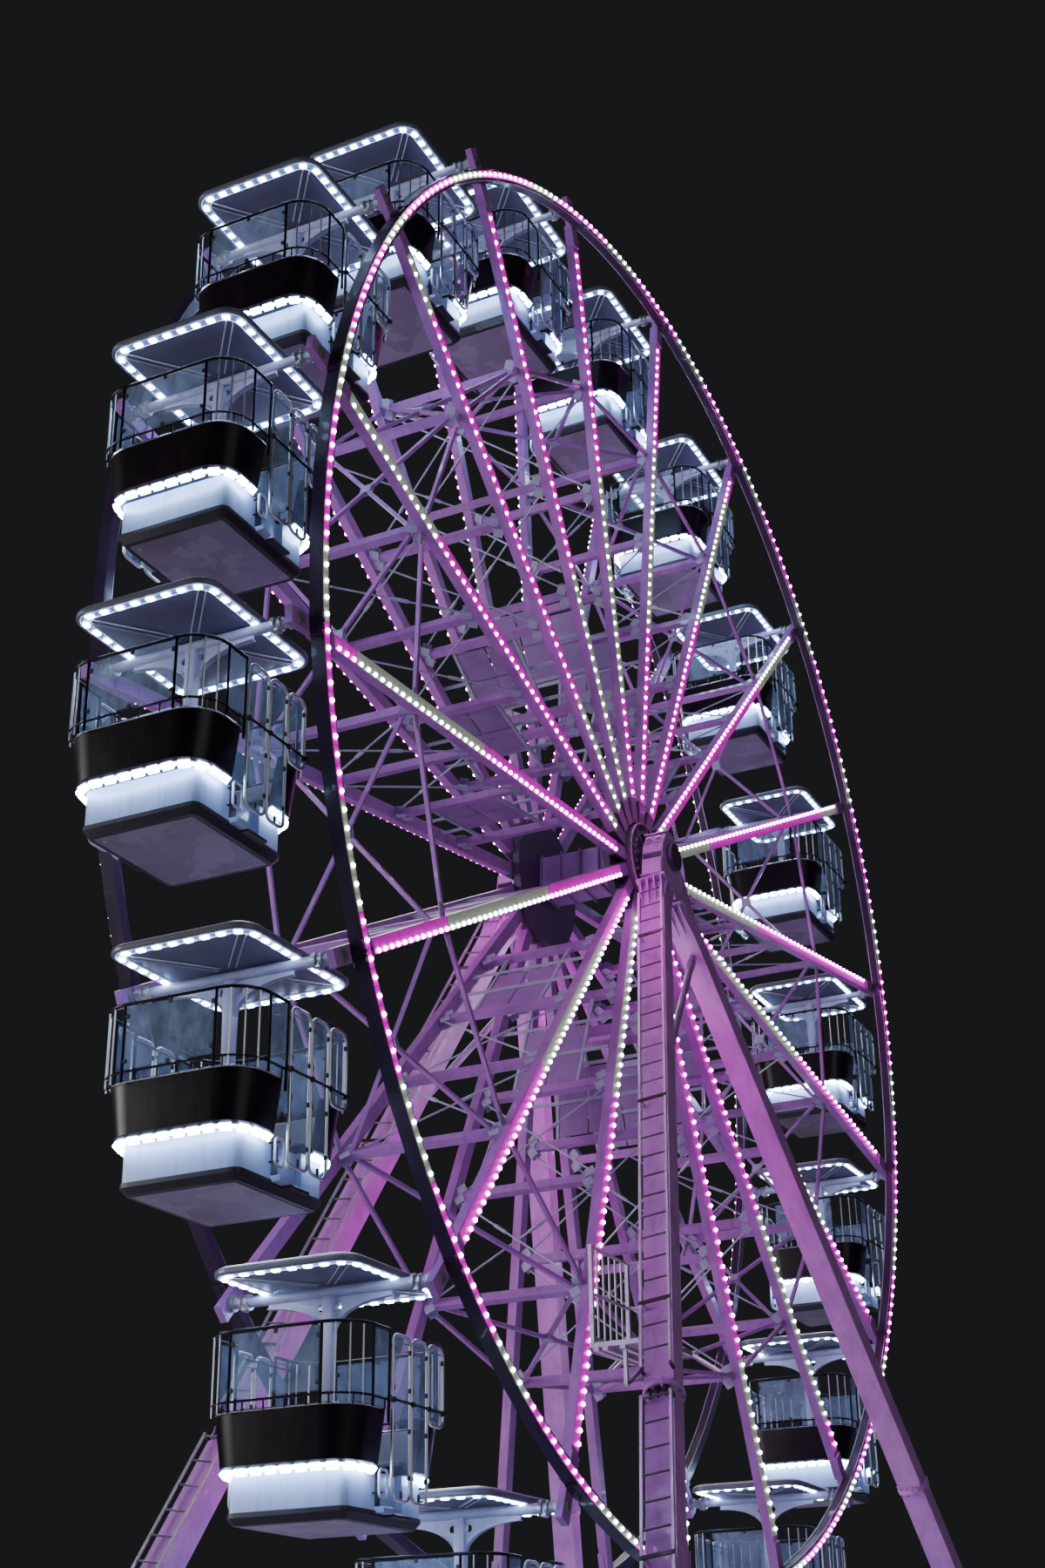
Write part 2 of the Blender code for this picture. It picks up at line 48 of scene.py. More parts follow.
STEP_ANGLE = 2 * math.pi / SPOKE_COUNT
REST_TURN = math.radians(3.6)
LAMP_RADIUS = 10.0
PIVOT_RADIUS = 10.24
RIM_FACE_Y = 1.50
RIM_INNER_Y = 1.3403
RIM_HALF_RADIAL = 0.07
SPOKE_START = (0.62, 0.82)
SPOKE_END = (9.95, 1.275)
SPOKE_HALF_WIDTH = 0.09
SPOKE_HALF_DEPTH = 0.06
LUG_INNER_Y = 1.25
STRUT_RADII = (2.5, 4.1, 5.7, 7.35)
LEG_HEAD_Y = 1.09
FOOT = (7.2, 3.7, 0.4)
LEG_WIDTH = 0.30
LEG_DEPTH = 0.34
LEG_JOINT = 9.72
WELD = 0.00004

# Signs of two sides and of four corners, and the wheel's two ends
SIDES = (-1, 1)
CORNERS = tuple((x, y) for x in SIDES for y in SIDES)
ENDS = ((-1, "front"), (1, "rear"))

# Cabin, heights from its pivot; a leaf is its left edge, right edge and bottom
CANOPY = (1.08, 0.90, 0.28)
RAIL = (1.04, 0.92, 0.38)
RAIL_TOP = -0.53
LOW_RAIL = -1.23
BOWL_TOP = -1.33
BOWL_BOTTOM = -1.87
BOWL_FOOT = (0.945, 0.775)
BOWL_BELLY = (0.975, 0.805)
BOWL_LIP = (1.0, 0.88)
SEAT_TOP = -1.77
TUB = (0.77, 0.69, 0.08)
SILL_LEFT = -0.20
SILL_RIGHT = 0.35
WEB_HALF_WIDTH = 0.76
WEB_DEPTH = 0.44
FRAME_TOP = -2.26
FLOOR_BOTTOM = -2.38
DOOR_Y = 0.955
DOOR_LEFT = -0.34
DOOR_RIGHT = 0.41
END_POSTS = ((-1, DOOR_LEFT), (1, DOOR_RIGHT))
DOOR_TOP = -0.57
DOOR_BOTTOM = -2.18
SLIDING_LEAVES = ((-0.32, 0.04, DOOR_BOTTOM), (0.07, 0.39, DOOR_BOTTOM))
LEAVES = (*SLIDING_LEAVES, (0.42, 0.74, -1.38))
LEAF_GAPS = (0.055, 0.405)
OUTER_GUIDE_Y = 0.982
INNER_GUIDE_Y = 0.925
HANDLE_Y = 0.80
CANOPY_LAMP_PITCH = 0.193
LIP_LAMP_PITCH = 0.17


# Materials

class Value:
    """One socket that varies over a surface. Arithmetic on it adds Math nodes."""

    def __init__(self, tree, socket):
        self.tree = tree
        self.socket = socket

    def calculate(self, operation, *terms):
        node = self.tree.nodes.new("ShaderNodeMath")
        node.operation = operation
        for place, term in enumerate(terms):
            if isinstance(term, Value):
                self.tree.links.new(term.socket, node.inputs[place])
            else:
                node.inputs[place].default_value = term
        return Value(self.tree, node.outputs[0])

    def __add__(self, other):
        return self.calculate("ADD", self, other)

    def __radd__(self, other):
        return self.calculate("ADD", other, self)

    def __sub__(self, other):
        return self.calculate("SUBTRACT", self, other)

    def __rsub__(self, other):
        return self.calculate("SUBTRACT", other, self)

    def __mul__(self, other):
        return self.calculate("MULTIPLY", self, other)

    def __rmul__(self, other):
        return self.calculate("MULTIPLY", other, self)

    def __truediv__(self, other):
        return self.calculate("DIVIDE", self, other)

    def __gt__(self, other):
        return self.calculate("GREATER_THAN", self, other)

    def __pow__(self, other):
        return self.calculate("POWER", self, other)

    def clamped(self):
        return self.calculate("MINIMUM", self.calculate("MAXIMUM", self, 0.0), 1.0)


class Finish:
    """One material, built node by node."""

    def __init__(self, name):
        self.material = bpy.data.materials.new(name)
        self.material.use_nodes = True
        self.tree = self.material.node_tree
        self.shader = self.tree.nodes["Principled BSDF"]
        self.place = self.node("ShaderNodeTexCoord", output="Object")

    def node(self, kind, settings=(), values=(), output=0):
        """Adds a node: its settings first, then the values or links of its sockets."""
        made = self.tree.nodes.new(kind)
        for name, setting in dict(settings).items():
            if name == "stops":
                ramp = made.color_ramp
                while len(ramp.elements) < len(setting):
                    ramp.elements.new(0.5)
                for element, (position, level) in zip(ramp.elements, setting):
                    element.position = position
                    element.color = (level, level, level, 1.0)
            else:
                setattr(made, name, setting)
        for name, value in dict(values).items():
            self.feed(made.inputs[name], value)
        return Value(self.tree, made.outputs[output])

    def feed(self, socket, value):
        """Links a varying value to a socket, or sets a fixed one on it."""
        if isinstance(value, Value):
            self.tree.links.new(value.socket, socket)
        elif socket.type == "RGBA":
            socket.default_value = (*value, 1.0)
        else:
            socket.default_value = value

    def stretched(self, scale, turn=(0, 0, 0)):
        return self.node(
            "ShaderNodeMapping", values={"Vector": self.place, "Scale": scale, "Rotation": turn})

    def noise(self, scale, detail=3.0, stretch=None, roughness=0.55):
        place = self.stretched(stretch) if stretch else self.place
        return self.node("ShaderNodeTexNoise", values={
            "Vector": place, "Scale": scale, "Detail": detail, "Roughness": roughness})

    def cells(self, scale, output="Color"):
        return self.node("ShaderNodeTexVoronoi", values={
            "Vector": self.place, "Scale": scale}, output=output)

    def ramp(self, value, *stops):
        return self.node("ShaderNodeValToRGB", {"stops": stops}, {"Fac": value})

    def mixed(self, share, first, second):
        return self.node(
            "ShaderNodeMix", {"data_type": "RGBA"}, {0: share, 6: first, 7: second}, 2)

    def bumped(self, height, strength, distance):
        return self.node("ShaderNodeBump", values={
            "Height": height, "Strength": strength, "Distance": distance})

    def set(self, **sockets):
        for name, value in sockets.items():
            self.feed(self.shader.inputs[name.replace("_", " ")], value)
        return self.material


def painted_steel(name, paint_and_glow, grime_and_shade, shine=0.38, chips=0.0, gloss=0.5):
    """Sprayed steel: cloudy soiling, rain streaks, a fine orange-peel skin and worn spots; where the
    soiled colour is deep purple the clouds and streaks are painted shade, and a magenta base colour is
    painted glow.
    """
    finish = Finish(name)
    clouds = finish.ramp(finish.noise(1.7, 5.0), (0.42, 0.0), (0.78, 1.0))
    streaks = finish.ramp(finish.noise(9.0, 3.0, (1.0, 1.0, 0.08)), (0.5, 0.0), (0.82, 1.0))
    # Real soiling mask; with a deep purple soiled colour it also paints shade
    dirt_and_shade = (clouds * 0.45 + streaks * 0.35).clamped()
    colour = finish.mixed(dirt_and_shade, paint_and_glow, grime_and_shade)
    speckle = finish.ramp(finish.noise(60.0, 4.0), (0.66, 0.0), (0.74, 1.0))
    colour = finish.mixed(speckle * (0.25 + chips), colour, (0.16, 0.14, 0.15))
    skin = finish.noise(240.0, 1.0)
    return finish.set(
        Base_Color=colour, Roughness=shine + dirt_and_shade * 0.25,
        Normal=finish.bumped(skin + dirt_and_shade * 0.6, 0.12, 0.002), Coat_Weight=gloss * 0.3,
        Specular_IOR_Level=gloss)


def galvanised(name, tone=0.62):
    """Hot-dip zinc: spangled grey metal with dull patches."""
    finish = Finish(name)
    spangle = finish.ramp(finish.cells(70.0), (0.15, 0.0), (0.85, 1.0))
    patches = finish.noise(3.0, 4.0)
    colour = finish.mixed(
        spangle, (tone * 0.78, tone * 0.78, tone * 0.84), (tone * 1.12, tone * 1.1, tone * 1.18))
    colour = finish.mixed(finish.ramp(patches, (0.5, 0.0), (0.75, 0.6)), colour, (0.33, 0.31, 0.33))
    return finish.set(
        Base_Color=colour, Metallic=0.85, Roughness=0.34 + patches * 0.25,
        Normal=finish.bumped(spangle, 0.08, 0.001))


def polished_tube(name, tone, shine):
    """Stainless tube with fine drawn lines and handled, duller stretches."""
    finish = Finish(name)
    lines = finish.noise(90.0, 2.0, (1.0, 1.0, 0.1))
    dull = finish.noise(4.0, 3.0)
    colour = finish.mixed(dull, tone, tuple(level * 0.72 for level in tone))
    return finish.set(
        Base_Color=colour, Metallic=1.0, Roughness=shine + dull * 0.16 + lines * 0.06,
        Normal=finish.bumped(lines, 0.05, 0.0008))


def moulded(name, colour, shade, shine, coat=0.0, streaky=0.4, gloss=0.5):
    """Gelcoat moulding: soft mottling, run-off streaks, faint ripple and scratches."""
    finish = Finish(name)
    mottle = finish.noise(2.6, 4.0)
    runs = finish.ramp(finish.noise(14.0, 3.0, (1.0, 1.0, 0.12)), (0.48, 0.0), (0.8, 1.0))
    soil = (finish.ramp(mottle, (0.45, 0.0), (0.8, 0.7)) * 0.5 + runs * streaky).clamped()
    tinted = finish.mixed(soil, colour, shade)
    scratch = finish.ramp(finish.noise(38.0, 2.0, (1.0, 1.0, 9.0)), (0.62, 0.0), (0.68, 1.0))
    return finish.set(
        Base_Color=tinted, Roughness=shine + soil * 0.2 + scratch * 0.08,
        Normal=finish.bumped(mottle + scratch * 0.2, 0.1, 0.003), Coat_Weight=coat,
        Specular_IOR_Level=gloss)


def clear_panel(name):
    """Acrylic sheet: blue-grey, smeared with wiped soil and fine scuffs; the smears also glow blue with
    painted lamp light.
    """
    finish = Finish(name)
    smear = finish.ramp(finish.noise(7.0, 6.0, (1.0, 1.0, 0.55), 0.7), (0.38, 0.0), (0.8, 1.0))
    scuff = finish.ramp(finish.noise(46.0, 3.0, (1.0, 1.0, 3.0)), (0.6, 0.0), (0.7, 1.0))
    haze_and_glow = (smear * 0.5 + scuff * 0.25).clamped()
    return finish.set(
        Base_Color=finish.mixed(haze_and_glow, (0.40, 0.54, 0.86), (0.74, 0.84, 1.0)),
        # Emission: painted lamp light glowing blue in the smears and scuffs
        Emission_Color=finish.mixed(haze_and_glow, (0.03, 0.07, 0.20), (0.32, 0.52, 0.95)),
        Emission_Strength=0.30, Roughness=0.08 + haze_and_glow * 0.4, Alpha=0.13 + haze_and_glow * 0.36,
        Coat_Weight=0.3)


def glowing(name, colour, power, body):
    """Lamp cap, also the trays and lines that glow with painted lamp light: bright at its middle, with
    the moulded facets of its lens.
    """
    finish = Finish(name)
    facets = finish.ramp(finish.cells(60.0, "Distance"), (0.0, 1.0), (0.8, 0.72))
    warm = finish.mixed(facets, tuple(level * 0.8 for level in colour), colour)
    return finish.set(
        Base_Color=body, Roughness=0.3, Emission_Color=warm, Emission_Strength=power)


def tread_plate(name, colour):
    """Chequer plate: raised slanted tears on a worn floor."""
    finish = Finish(name)
    rows = finish.node("ShaderNodeTexWave", {"wave_type": "BANDS", "bands_direction": "DIAGONAL"}, {
        "Vector": finish.place, "Scale": 16.0, "Distortion": 0.0})
    cross = finish.node("ShaderNodeTexWave", {"wave_type": "BANDS", "bands_direction": "X"}, {
        "Vector": finish.place, "Scale": 11.0, "Distortion": 0.0})
    tears = (rows > 0.72) * (cross > 0.5)
    wear = finish.noise(5.0, 4.0)
    base = finish.mixed(wear, colour, tuple(level * 0.6 for level in colour))
    return finish.set(
        Base_Color=finish.mixed(tears * 0.6, base, (0.5, 0.5, 0.52)),
        Metallic=0.4, Roughness=0.42 + wear * 0.25, Normal=finish.bumped(tears, 0.4, 0.004))


def stained_plate(name):
    """Underside plate: lilac grey with a dried water mark and brown soot towards its edge."""
    finish = Finish(name)
    cloud = finish.noise(1.6, 5.0)
    mark = finish.ramp(cloud, (0.52, 0.0), (0.54, 1.0))
    soot = finish.ramp(finish.noise(0.9, 3.0), (0.4, 0.0), (0.7, 1.0))
    base = finish.mixed(soot * 0.7, (0.30, 0.25, 0.37), (0.18, 0.12, 0.15))
    return finish.set(
        Base_Color=finish.mixed(mark * 0.45, base, (0.42, 0.38, 0.49)),
        Metallic=0.2, Roughness=0.45 + cloud * 0.2, Normal=finish.bumped(cloud, 0.1, 0.003))


WHITE = painted_steel("white_paint", (0.46, 0.44, 0.62), (0.27, 0.25, 0.38))
# Frame steel: white coat tinted magenta as painted glow; the deep purple of its clouds and streaks is
# painted shade
FRAME_WHITE_PAINTED_GLOW = painted_steel("frame_white_painted_glow", (0.47, 0.19, 0.57), (0.11, 0.035, 0.17))
# Leg steel: white coat tinted magenta-pink as painted glow
LEG_WHITE_PAINTED_GLOW = painted_steel("leg_white_painted_glow", (0.58, 0.27, 0.67), (0.20, 0.08, 0.27))
# Lilac coat deepened to purple: partly its own tone, partly painted magenta glow
LILAC_PARTLY_PAINTED_GLOW = painted_steel("lilac_paint_and_glow", (0.36, 0.21, 0.48), (0.16, 0.08, 0.24))
DARK = painted_steel("rim_paint", (0.030, 0.014, 0.042), (0.07, 0.035, 0.09), 0.34, 0.0, 0.25)
# Hub darkened to the dark purple of its unlit shade: painted shade
HUB_PAINTED_SHADE = painted_steel("hub_painted_shade", (0.085, 0.045, 0.11), (0.05, 0.03, 0.065), 0.42, 0.3)
FRAME_PAINT = painted_steel(
    "frame_paint", (0.020, 0.017, 0.030), (0.06, 0.05, 0.075), 0.45, 0.1, 0.3)
ZINC = galvanised("zinc")
# Rungs near-black, far darker than zinc: painted shade
RUNG_STEEL_PAINTED_SHADE = galvanised("rung_steel_painted_shade", 0.12)
BOLT = galvanised("bolt_zinc", 0.5)
BLACK_BOLT = galvanised("black_bolt", 0.05)
CHROME = polished_tube("chrome_tube", (0.62, 0.64, 0.72), 0.12)
DOOR_CHROME = polished_tube("door_chrome", (0.86, 0.89, 1.0), 0.24)
# Chrome tube given the near-black of the dark surroundings it mirrors: painted reflection
TUBE_PAINTED_DARK_REFLECTION = polished_tube("tube_painted_dark_reflection", (0.035, 0.034, 0.045), 0.2)
BOWL = moulded("bowl_gloss", (0.009, 0.005, 0.010), (0.026, 0.014, 0.022), 0.32, 0.0, 0.25, 0.22)
# Tub: white moulding tinted blue as painted glow of the cabin lamps
TUB_WHITE_PAINTED_GLOW = moulded("tub_white_painted_glow", (0.38, 0.45, 0.68), (0.21, 0.25, 0.40), 0.3, 0.2, 0.5)
CANOPY_WHITE = moulded("canopy_white", (0.62, 0.61, 0.74), (0.40, 0.38, 0.50), 0.28, 0.3, 0.2)
# Canopy lip darkened to the shade it sits in: painted shade
LIP_PAINTED_SHADE = moulded("canopy_lip_painted_shade", (0.15, 0.15, 0.22), (0.09, 0.08, 0.13), 0.34, 0.1, 0.2)
LINING = moulded("canopy_lining", (0.13, 0.115, 0.20), (0.08, 0.07, 0.13), 0.4, 0.0, 0.2)
SEAT = moulded("seat_shell", (0.30, 0.31, 0.37), (0.18, 0.18, 0.22), 0.42, 0.1, 0.2)
GLASS = clear_panel("clear_panel")
RUBBER = moulded("clamp_rubber", (0.012, 0.012, 0.014), (0.04, 0.04, 0.045), 0.6, 0.0, 0.1)
TREAD = tread_plate("tread_plate", (0.20, 0.20, 0.24))
UNDER = stained_plate("under_plate")
PINK_LAMP = glowing("pink_lamp", (1.0, 0.08, 0.88), 55.0, (0.9, 0.08, 0.6))
PALE_LAMP = glowing("pale_lamp", (0.86, 1.0, 0.88), 26.0, (0.8, 0.95, 0.82))
CABIN_LAMP = glowing("cabin_lamp", (0.48, 0.68, 1.0), 30.0, (0.85, 0.92, 1.0))
# Trays glow as lamp light spilling onto the channels and faces round the lamps: painted glow, not lamps
PINK_TRAY_PAINTED_GLOW = glowing("pink_tray_painted_glow", (0.95, 0.0, 0.80), 0.32, (0.40, 0.01, 0.35))
PALE_TRAY_PAINTED_GLOW = glowing("pale_tray_painted_glow", (0.50, 0.54, 0.46), 0.24, (0.28, 0.30, 0.27))
CABIN_TRAY_PAINTED_GLOW = glowing("cabin_tray_painted_glow", (0.30, 0.46, 0.95), 0.22, (0.10, 0.13, 0.25))
# Channel edge lines glow as painted lamp light, not lamps
CABIN_LINE_PAINTED_GLOW = glowing("cabin_line_painted_glow", (0.42, 0.62, 1.0), 0.8, (0.50, 0.60, 0.85))


# Modelling

def deselect():
    bpy.ops.object.select_all(action="DESELECT")


def start_piece(name):
    """A new empty piece, open in edit mode."""
    deselect()
    piece = bpy.data.objects.new(name, bpy.data.meshes.new(name))
    bpy.context.scene.collection.objects.link(piece)
    piece.select_set(True)
    bpy.context.view_layer.objects.active = piece
    bpy.ops.object.mode_set(mode="EDIT")
    return piece


def end_piece(piece, finish, angle=32):
    """Closes the piece: seams merged, faces outwards, shading split at sharp edges."""
    bpy.ops.mesh.select_all(action="SELECT")
    bpy.ops.mesh.remove_doubles(threshold=WELD)
    bpy.ops.mesh.normals_make_consistent(inside=False)
    bpy.ops.object.mode_set(mode="OBJECT")
    piece.data.materials.append(finish)
    bpy.ops.object.shade_smooth_by_angle(angle=math.radians(angle))
    return piece


def joined(name, parts):
    deselect()
    for part in parts:
        part.select_set(True)
    bpy.context.view_layer.objects.active = parts[0]
    bpy.ops.object.join()
    parts[0].name = name
    parts[0].data.name = name
    return parts[0]


def turn_along(start, end, side):
    """Middle, Euler turn and length of a box whose Z runs from start to end and X along side."""
    along = (end - start).normalized()
    across = (side - along * side.dot(along)).normalized()
    turn = Matrix((across, along.cross(across), along)).transposed()
    return (start + end) / 2, turn.to_euler(), (end - start).length


def any_side(start, end):
    along = (Vector(end) - Vector(start)).normalized()
    return Vector((0, 0, 1)) if abs(along.z) < 0.9 else Vector((1, 0, 0))


def bar(start, end, width, depth, side=None, bevel=0.0):
    """Adds a box beam, width measured along side."""
    start, end = Vector(start), Vector(end)
    side = Vector(side) if side is not None else any_side(start, end)
    middle, turn, length = turn_along(start, end, side)
    bpy.ops.mesh.primitive_cube_add(
        size=1, location=middle, rotation=turn, scale=(width, depth, length))
    if bevel:
        bpy.ops.mesh.bevel(offset=bevel, segments=1, affect="EDGES")


def block(first, second, bevel=0.0, segments=1):
    """Adds a level box between two opposite corners, given in either order."""
    first, second = Vector(first), Vector(second)
    size = [abs(reach) for reach in second - first]
    bpy.ops.mesh.primitive_cube_add(size=1, location=(first + second) / 2, scale=size)
    if bevel:
        bpy.ops.mesh.bevel(offset=bevel, segments=segments, affect="EDGES")


def rod(start, end, radius, sides=8):
    start, end = Vector(start), Vector(end)
    middle, turn, length = turn_along(start, end, any_side(start, end))
    bpy.ops.mesh.primitive_cylinder_add(
        vertices=sides, radius=radius, depth=length, location=middle, rotation=turn)


def bolt(place, direction, radius=0.018, height=0.016):
    """Hexagon head on a washer."""
    place, direction = Vector(place), Vector(direction).normalized()
    rod(place, place + direction * height * 0.25, radius * 1.5, 10)
    rod(place + direction * height * 0.2, place + direction * height, radius, 6)


def rounded_plate(half_x, half_y, corner, low, high, steps=6):
    """Adds a level plate with round corners and leaves its top selected."""
    bpy.ops.mesh.primitive_plane_add(size=2, location=(0, 0, low))
    bpy.ops.transform.resize(value=(half_x, half_y, 1), center_override=(0, 0, low))
    bpy.ops.mesh.bevel(offset=corner, segments=steps, affect="VERTICES")
    extrude_up(high - low)


def extrude_up(height, scale=(1, 1, 1)):
    bpy.ops.mesh.extrude_region_move(TRANSFORM_OT_translate={"value": (0, 0, height)})
    bpy.ops.transform.resize(value=scale, center_override=(0, 0, 0), constraint_axis=(True, True, False))


def widened(before, after):
    """Scale that takes one (x, y) size to another."""
    return (after[0] / before[0], after[1] / before[1], 1)


def select_faces(piece, wanted):
    """Selects only the faces for which wanted(centre, normal) holds."""
    bpy.ops.mesh.select_mode(type="FACE")
    bpy.ops.mesh.select_all(action="DESELECT")
    work = bmesh.from_edit_mesh(piece.data)
    for face in work.faces:
        face.select_set(bool(wanted(face.calc_center_median(), face.normal)))
    bmesh.update_edit_mesh(piece.data)


def cut_with(piece, *cutters):
    """Takes the cutters' volume out of the piece and deletes them."""
    for cutter in cutters:
        deselect()
        piece.select_set(True)
        bpy.context.view_layer.objects.active = piece
        step = piece.modifiers.new("cut", "BOOLEAN")
        step.operation = "DIFFERENCE"
        step.solver = "EXACT"
        step.object = cutter
        bpy.ops.object.modifier_apply(modifier="cut")
        bpy.data.objects.remove(cutter, do_unlink=True)
    return piece


def cutter_block(low, high):
    piece = start_piece("cutter")
    block(low, high)
    bpy.ops.object.mode_set(mode="OBJECT")
    return piece


def cutter_rod(start, end, radius, sides=20):
    piece = start_piece("cutter")
    rod(start, end, radius, sides)
    bpy.ops.object.mode_set(mode="OBJECT")
    return piece


def tube(name, points, radius, finish, closed=False, resolution=2, height=0.0):
    """Round tube, or a level band with round edges, along points: a curve made a mesh."""
    deselect()
    route = bpy.data.curves.new(name, "CURVE")
    route.dimensions = "3D"
    route.bevel_depth = radius
    route.extrude = height / 2
    route.bevel_resolution = resolution
    route.use_fill_caps = True
    line = route.splines.new("POLY")
    line.points.add(len(points) - 1)
    for knot, point in zip(line.points, points):
        knot.co = (*point, 1.0)
    line.use_cyclic_u = closed
    holder = bpy.data.objects.new(name, route)
    bpy.context.scene.collection.objects.link(holder)
    holder.select_set(True)
    bpy.context.view_layer.objects.active = holder
    bpy.ops.object.convert(target="MESH")
    piece = bpy.context.view_layer.objects.active
    bpy.ops.object.mode_set(mode="EDIT")
    piece.data.materials.clear()
    return end_piece(piece, finish, 50)


def corner_arc(centre, radius, start, end, z, steps=6):
    """Points round a level arc between two angles in degrees."""
    points = []
    for step in range(steps + 1):
        angle = math.radians(start + (end - start) * step / steps)
        points.append((centre[0] + radius * math.cos(angle), centre[1] + radius * math.sin(angle), z))
    return points


def ring_path(half_x, half_y, corner, z, steps=6):
    """Closed level path round a rectangle with round corners."""
    points = []
    for turn, (sign_x, sign_y) in enumerate(((1, 1), (-1, 1), (-1, -1), (1, -1))):
        centre = (sign_x * (half_x - corner), sign_y * (half_y - corner))
        points += corner_arc(centre, corner, 90 * turn, 90 * turn + 90, z, steps)
    return points


def end_path(side, inner, half_x, half_y, corner, z, steps=6):
    """Level path round one end of a cabin, from the front door post to the rear one."""
    points = [(inner, -half_y, z)]
    centre_x = side * (half_x - corner)
    first = corner_arc((centre_x, corner - half_y), corner, -90, -90 + side * 90, z, steps)
    second = corner_arc((centre_x, half_y - corner), corner, 90 - side * 90, 90, z, steps)
    return points + first + second + [(inner, half_y, z)]


def spaced(points, pitch, closed=False, margin=0.0):
    """Evenly spaced (place, direction) pairs along a path."""
    points = [Vector(point) for point in points]
    if closed:
        points.append(points[0])
    lengths = [(after - before).length for before, after in zip(points, points[1:])]
    total = sum(lengths) - 2 * margin
    count = max(1, round(total / pitch))
    places = []
    for number in range(count if closed else count + 1):
        wanted = margin + total * number / count
        for before, after, length in zip(points, points[1:], lengths):
            if wanted <= length + 1e-6 and length > 1e-9:
                places.append((before.lerp(after, wanted / length), (after - before) / length))
                break
            wanted -= length
    return places


def cut_sheet(name, outline, thickness, finish, matrix=None):
    """Sheet of even thickness cut to a closed outline of (x, y) points, then put in place."""
    deselect()
    route = bpy.data.curves.new(name, "CURVE")
    route.dimensions = "2D"
    route.fill_mode = "BOTH"
    route.extrude = thickness / 2
    line = route.splines.new("POLY")
    line.points.add(len(outline) - 1)
    for knot, (x, y) in zip(line.points, outline):
        knot.co = (x, y, 0.0, 1.0)
    line.use_cyclic_u = True
    holder = bpy.data.objects.new(name, route)
    bpy.context.scene.collection.objects.link(holder)
    holder.select_set(True)
    bpy.context.view_layer.objects.active = holder
    bpy.ops.object.convert(target="MESH")
    piece = bpy.context.view_layer.objects.active
    bpy.ops.object.mode_set(mode="EDIT")
    piece.data.materials.clear()
    end_piece(piece, finish)
    if matrix:
        piece.data.transform(matrix)
    return piece


def copied(source, name, matrix):
    piece = source.copy()
    piece.data = source.data.copy()
    piece.data.transform(matrix)
    piece.name = name
    piece.data.name = name
    bpy.context.scene.collection.objects.link(piece)
    return piece


def array_of(source, name, matrices):
    """Copies of source at each matrix, joined. The source is deleted."""
    parts = [copied(source, name, matrix) for matrix in matrices]
    bpy.data.objects.remove(source, do_unlink=True)
    return joined(name, parts)


def kept(piece, body, replaces=()):
    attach(piece, body)
    if replaces:
        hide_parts(*replaces)
    return piece


def basis(place, direction, up):
    """Matrix at place with X along direction and Z along up."""
    direction = Vector(direction).normalized()
    up = (Vector(up) - direction * direction.dot(Vector(up))).normalized()
    turn = Matrix((direction, up.cross(direction), up)).transposed().to_4x4()
    return Matrix.Translation(place) @ turn


# Cabin pieces, modelled about the pivot

def lamp_bar(length, width, height):
    """Lamp module with a rounded lens, its back on the level z = 0 and its lens upwards."""
    piece = start_piece("lamp_bar")
    block((-length / 2, -width / 2, 0), (length / 2, width / 2, height))
    select_faces(piece, lambda centre, normal: normal.z > 0.9)
    bpy.ops.mesh.inset(thickness=height * 0.35, depth=height * 0.3)
    return end_piece(piece, CABIN_LAMP, 50)


def canopy():
    """Roof shell with its lip in painted shade, two thin lines glowing with painted lamp light, lining
    and diagonal ribs underneath.
    """
    half_x, half_y, corner = CANOPY
    shell = start_piece("shell")
    rounded_plate(half_x - 0.045, half_y - 0.045, corner - 0.045, 0.076, 0.142, 8)
    for thickness, depth in ((0.03, 0.014), (0.10, 0.018)):
        bpy.ops.mesh.inset(thickness=thickness, depth=depth)
    for rise, scale in ((0.018, (0.74, 0.68, 1)), (0.010, (0.5, 0.4, 1))):
        extrude_up(rise, scale)
    shell = end_piece(shell, CANOPY_WHITE)
    # The lip takes painted shade
    lip = tube("lip", ring_path(half_x - 0.036, half_y - 0.036, corner - 0.036, 0.094, 8),
               0.020, LIP_PAINTED_SHADE, True, 3, 0.030)
    # The two lines glow with painted lamp light
    lines = [
        tube("line", ring_path(half_x - inset, half_y - inset, corner - round_by, 0.062, 8),
             0.006, CABIN_LINE_PAINTED_GLOW, True, 1)
        for inset, round_by in ((0.060, 0.060), (0.158, 0.120))]
    lining = start_piece("lining")
    rounded_plate(half_x - 0.055, half_y - 0.055, corner - 0.055, 0.068, 0.078, 8)
    lining = end_piece(lining, LINING)
    ribs = start_piece("ribs")
    level = 0.056
    corner_x, corner_y = half_x - 0.21, half_y - 0.21
    for sign_x, sign_y in CORNERS:
        outer = Vector((sign_x * corner_x, sign_y * corner_y, level))
        inner = Vector((sign_x * 0.12, sign_y * 0.08, level))
        across = (outer - inner).cross(Vector((0, 0, 1))).normalized() * 0.038
        for shift in (-across, across):
            bar(outer + shift, inner + shift, 0.014, 0.014, (0, 0, 1), 0.003)
    ribs = end_piece(ribs, CANOPY_WHITE)
    return joined("canopy", [shell, lip, *lines, lining, ribs])


def canopy_lamps():
    half_x, half_y, corner = CANOPY
    route = ring_path(half_x - 0.109, half_y - 0.109, corner - 0.09, 0.067, 6)
    places = [
        basis(place, along, (0, 0, -1)) for place, along in spaced(route, CANOPY_LAMP_PITCH, True)]
    # The trays glow with painted lamp light
    trays = array_of(lamp_tray(CABIN_TRAY_PAINTED_GLOW, CANOPY_LAMP_PITCH - 0.005, 0.080, 0), "trays", places)
    lamps = array_of(lamp_bar(0.082, 0.060, 0.022), "lamps", places)
    return joined("canopy_lamps", [lamps, trays])


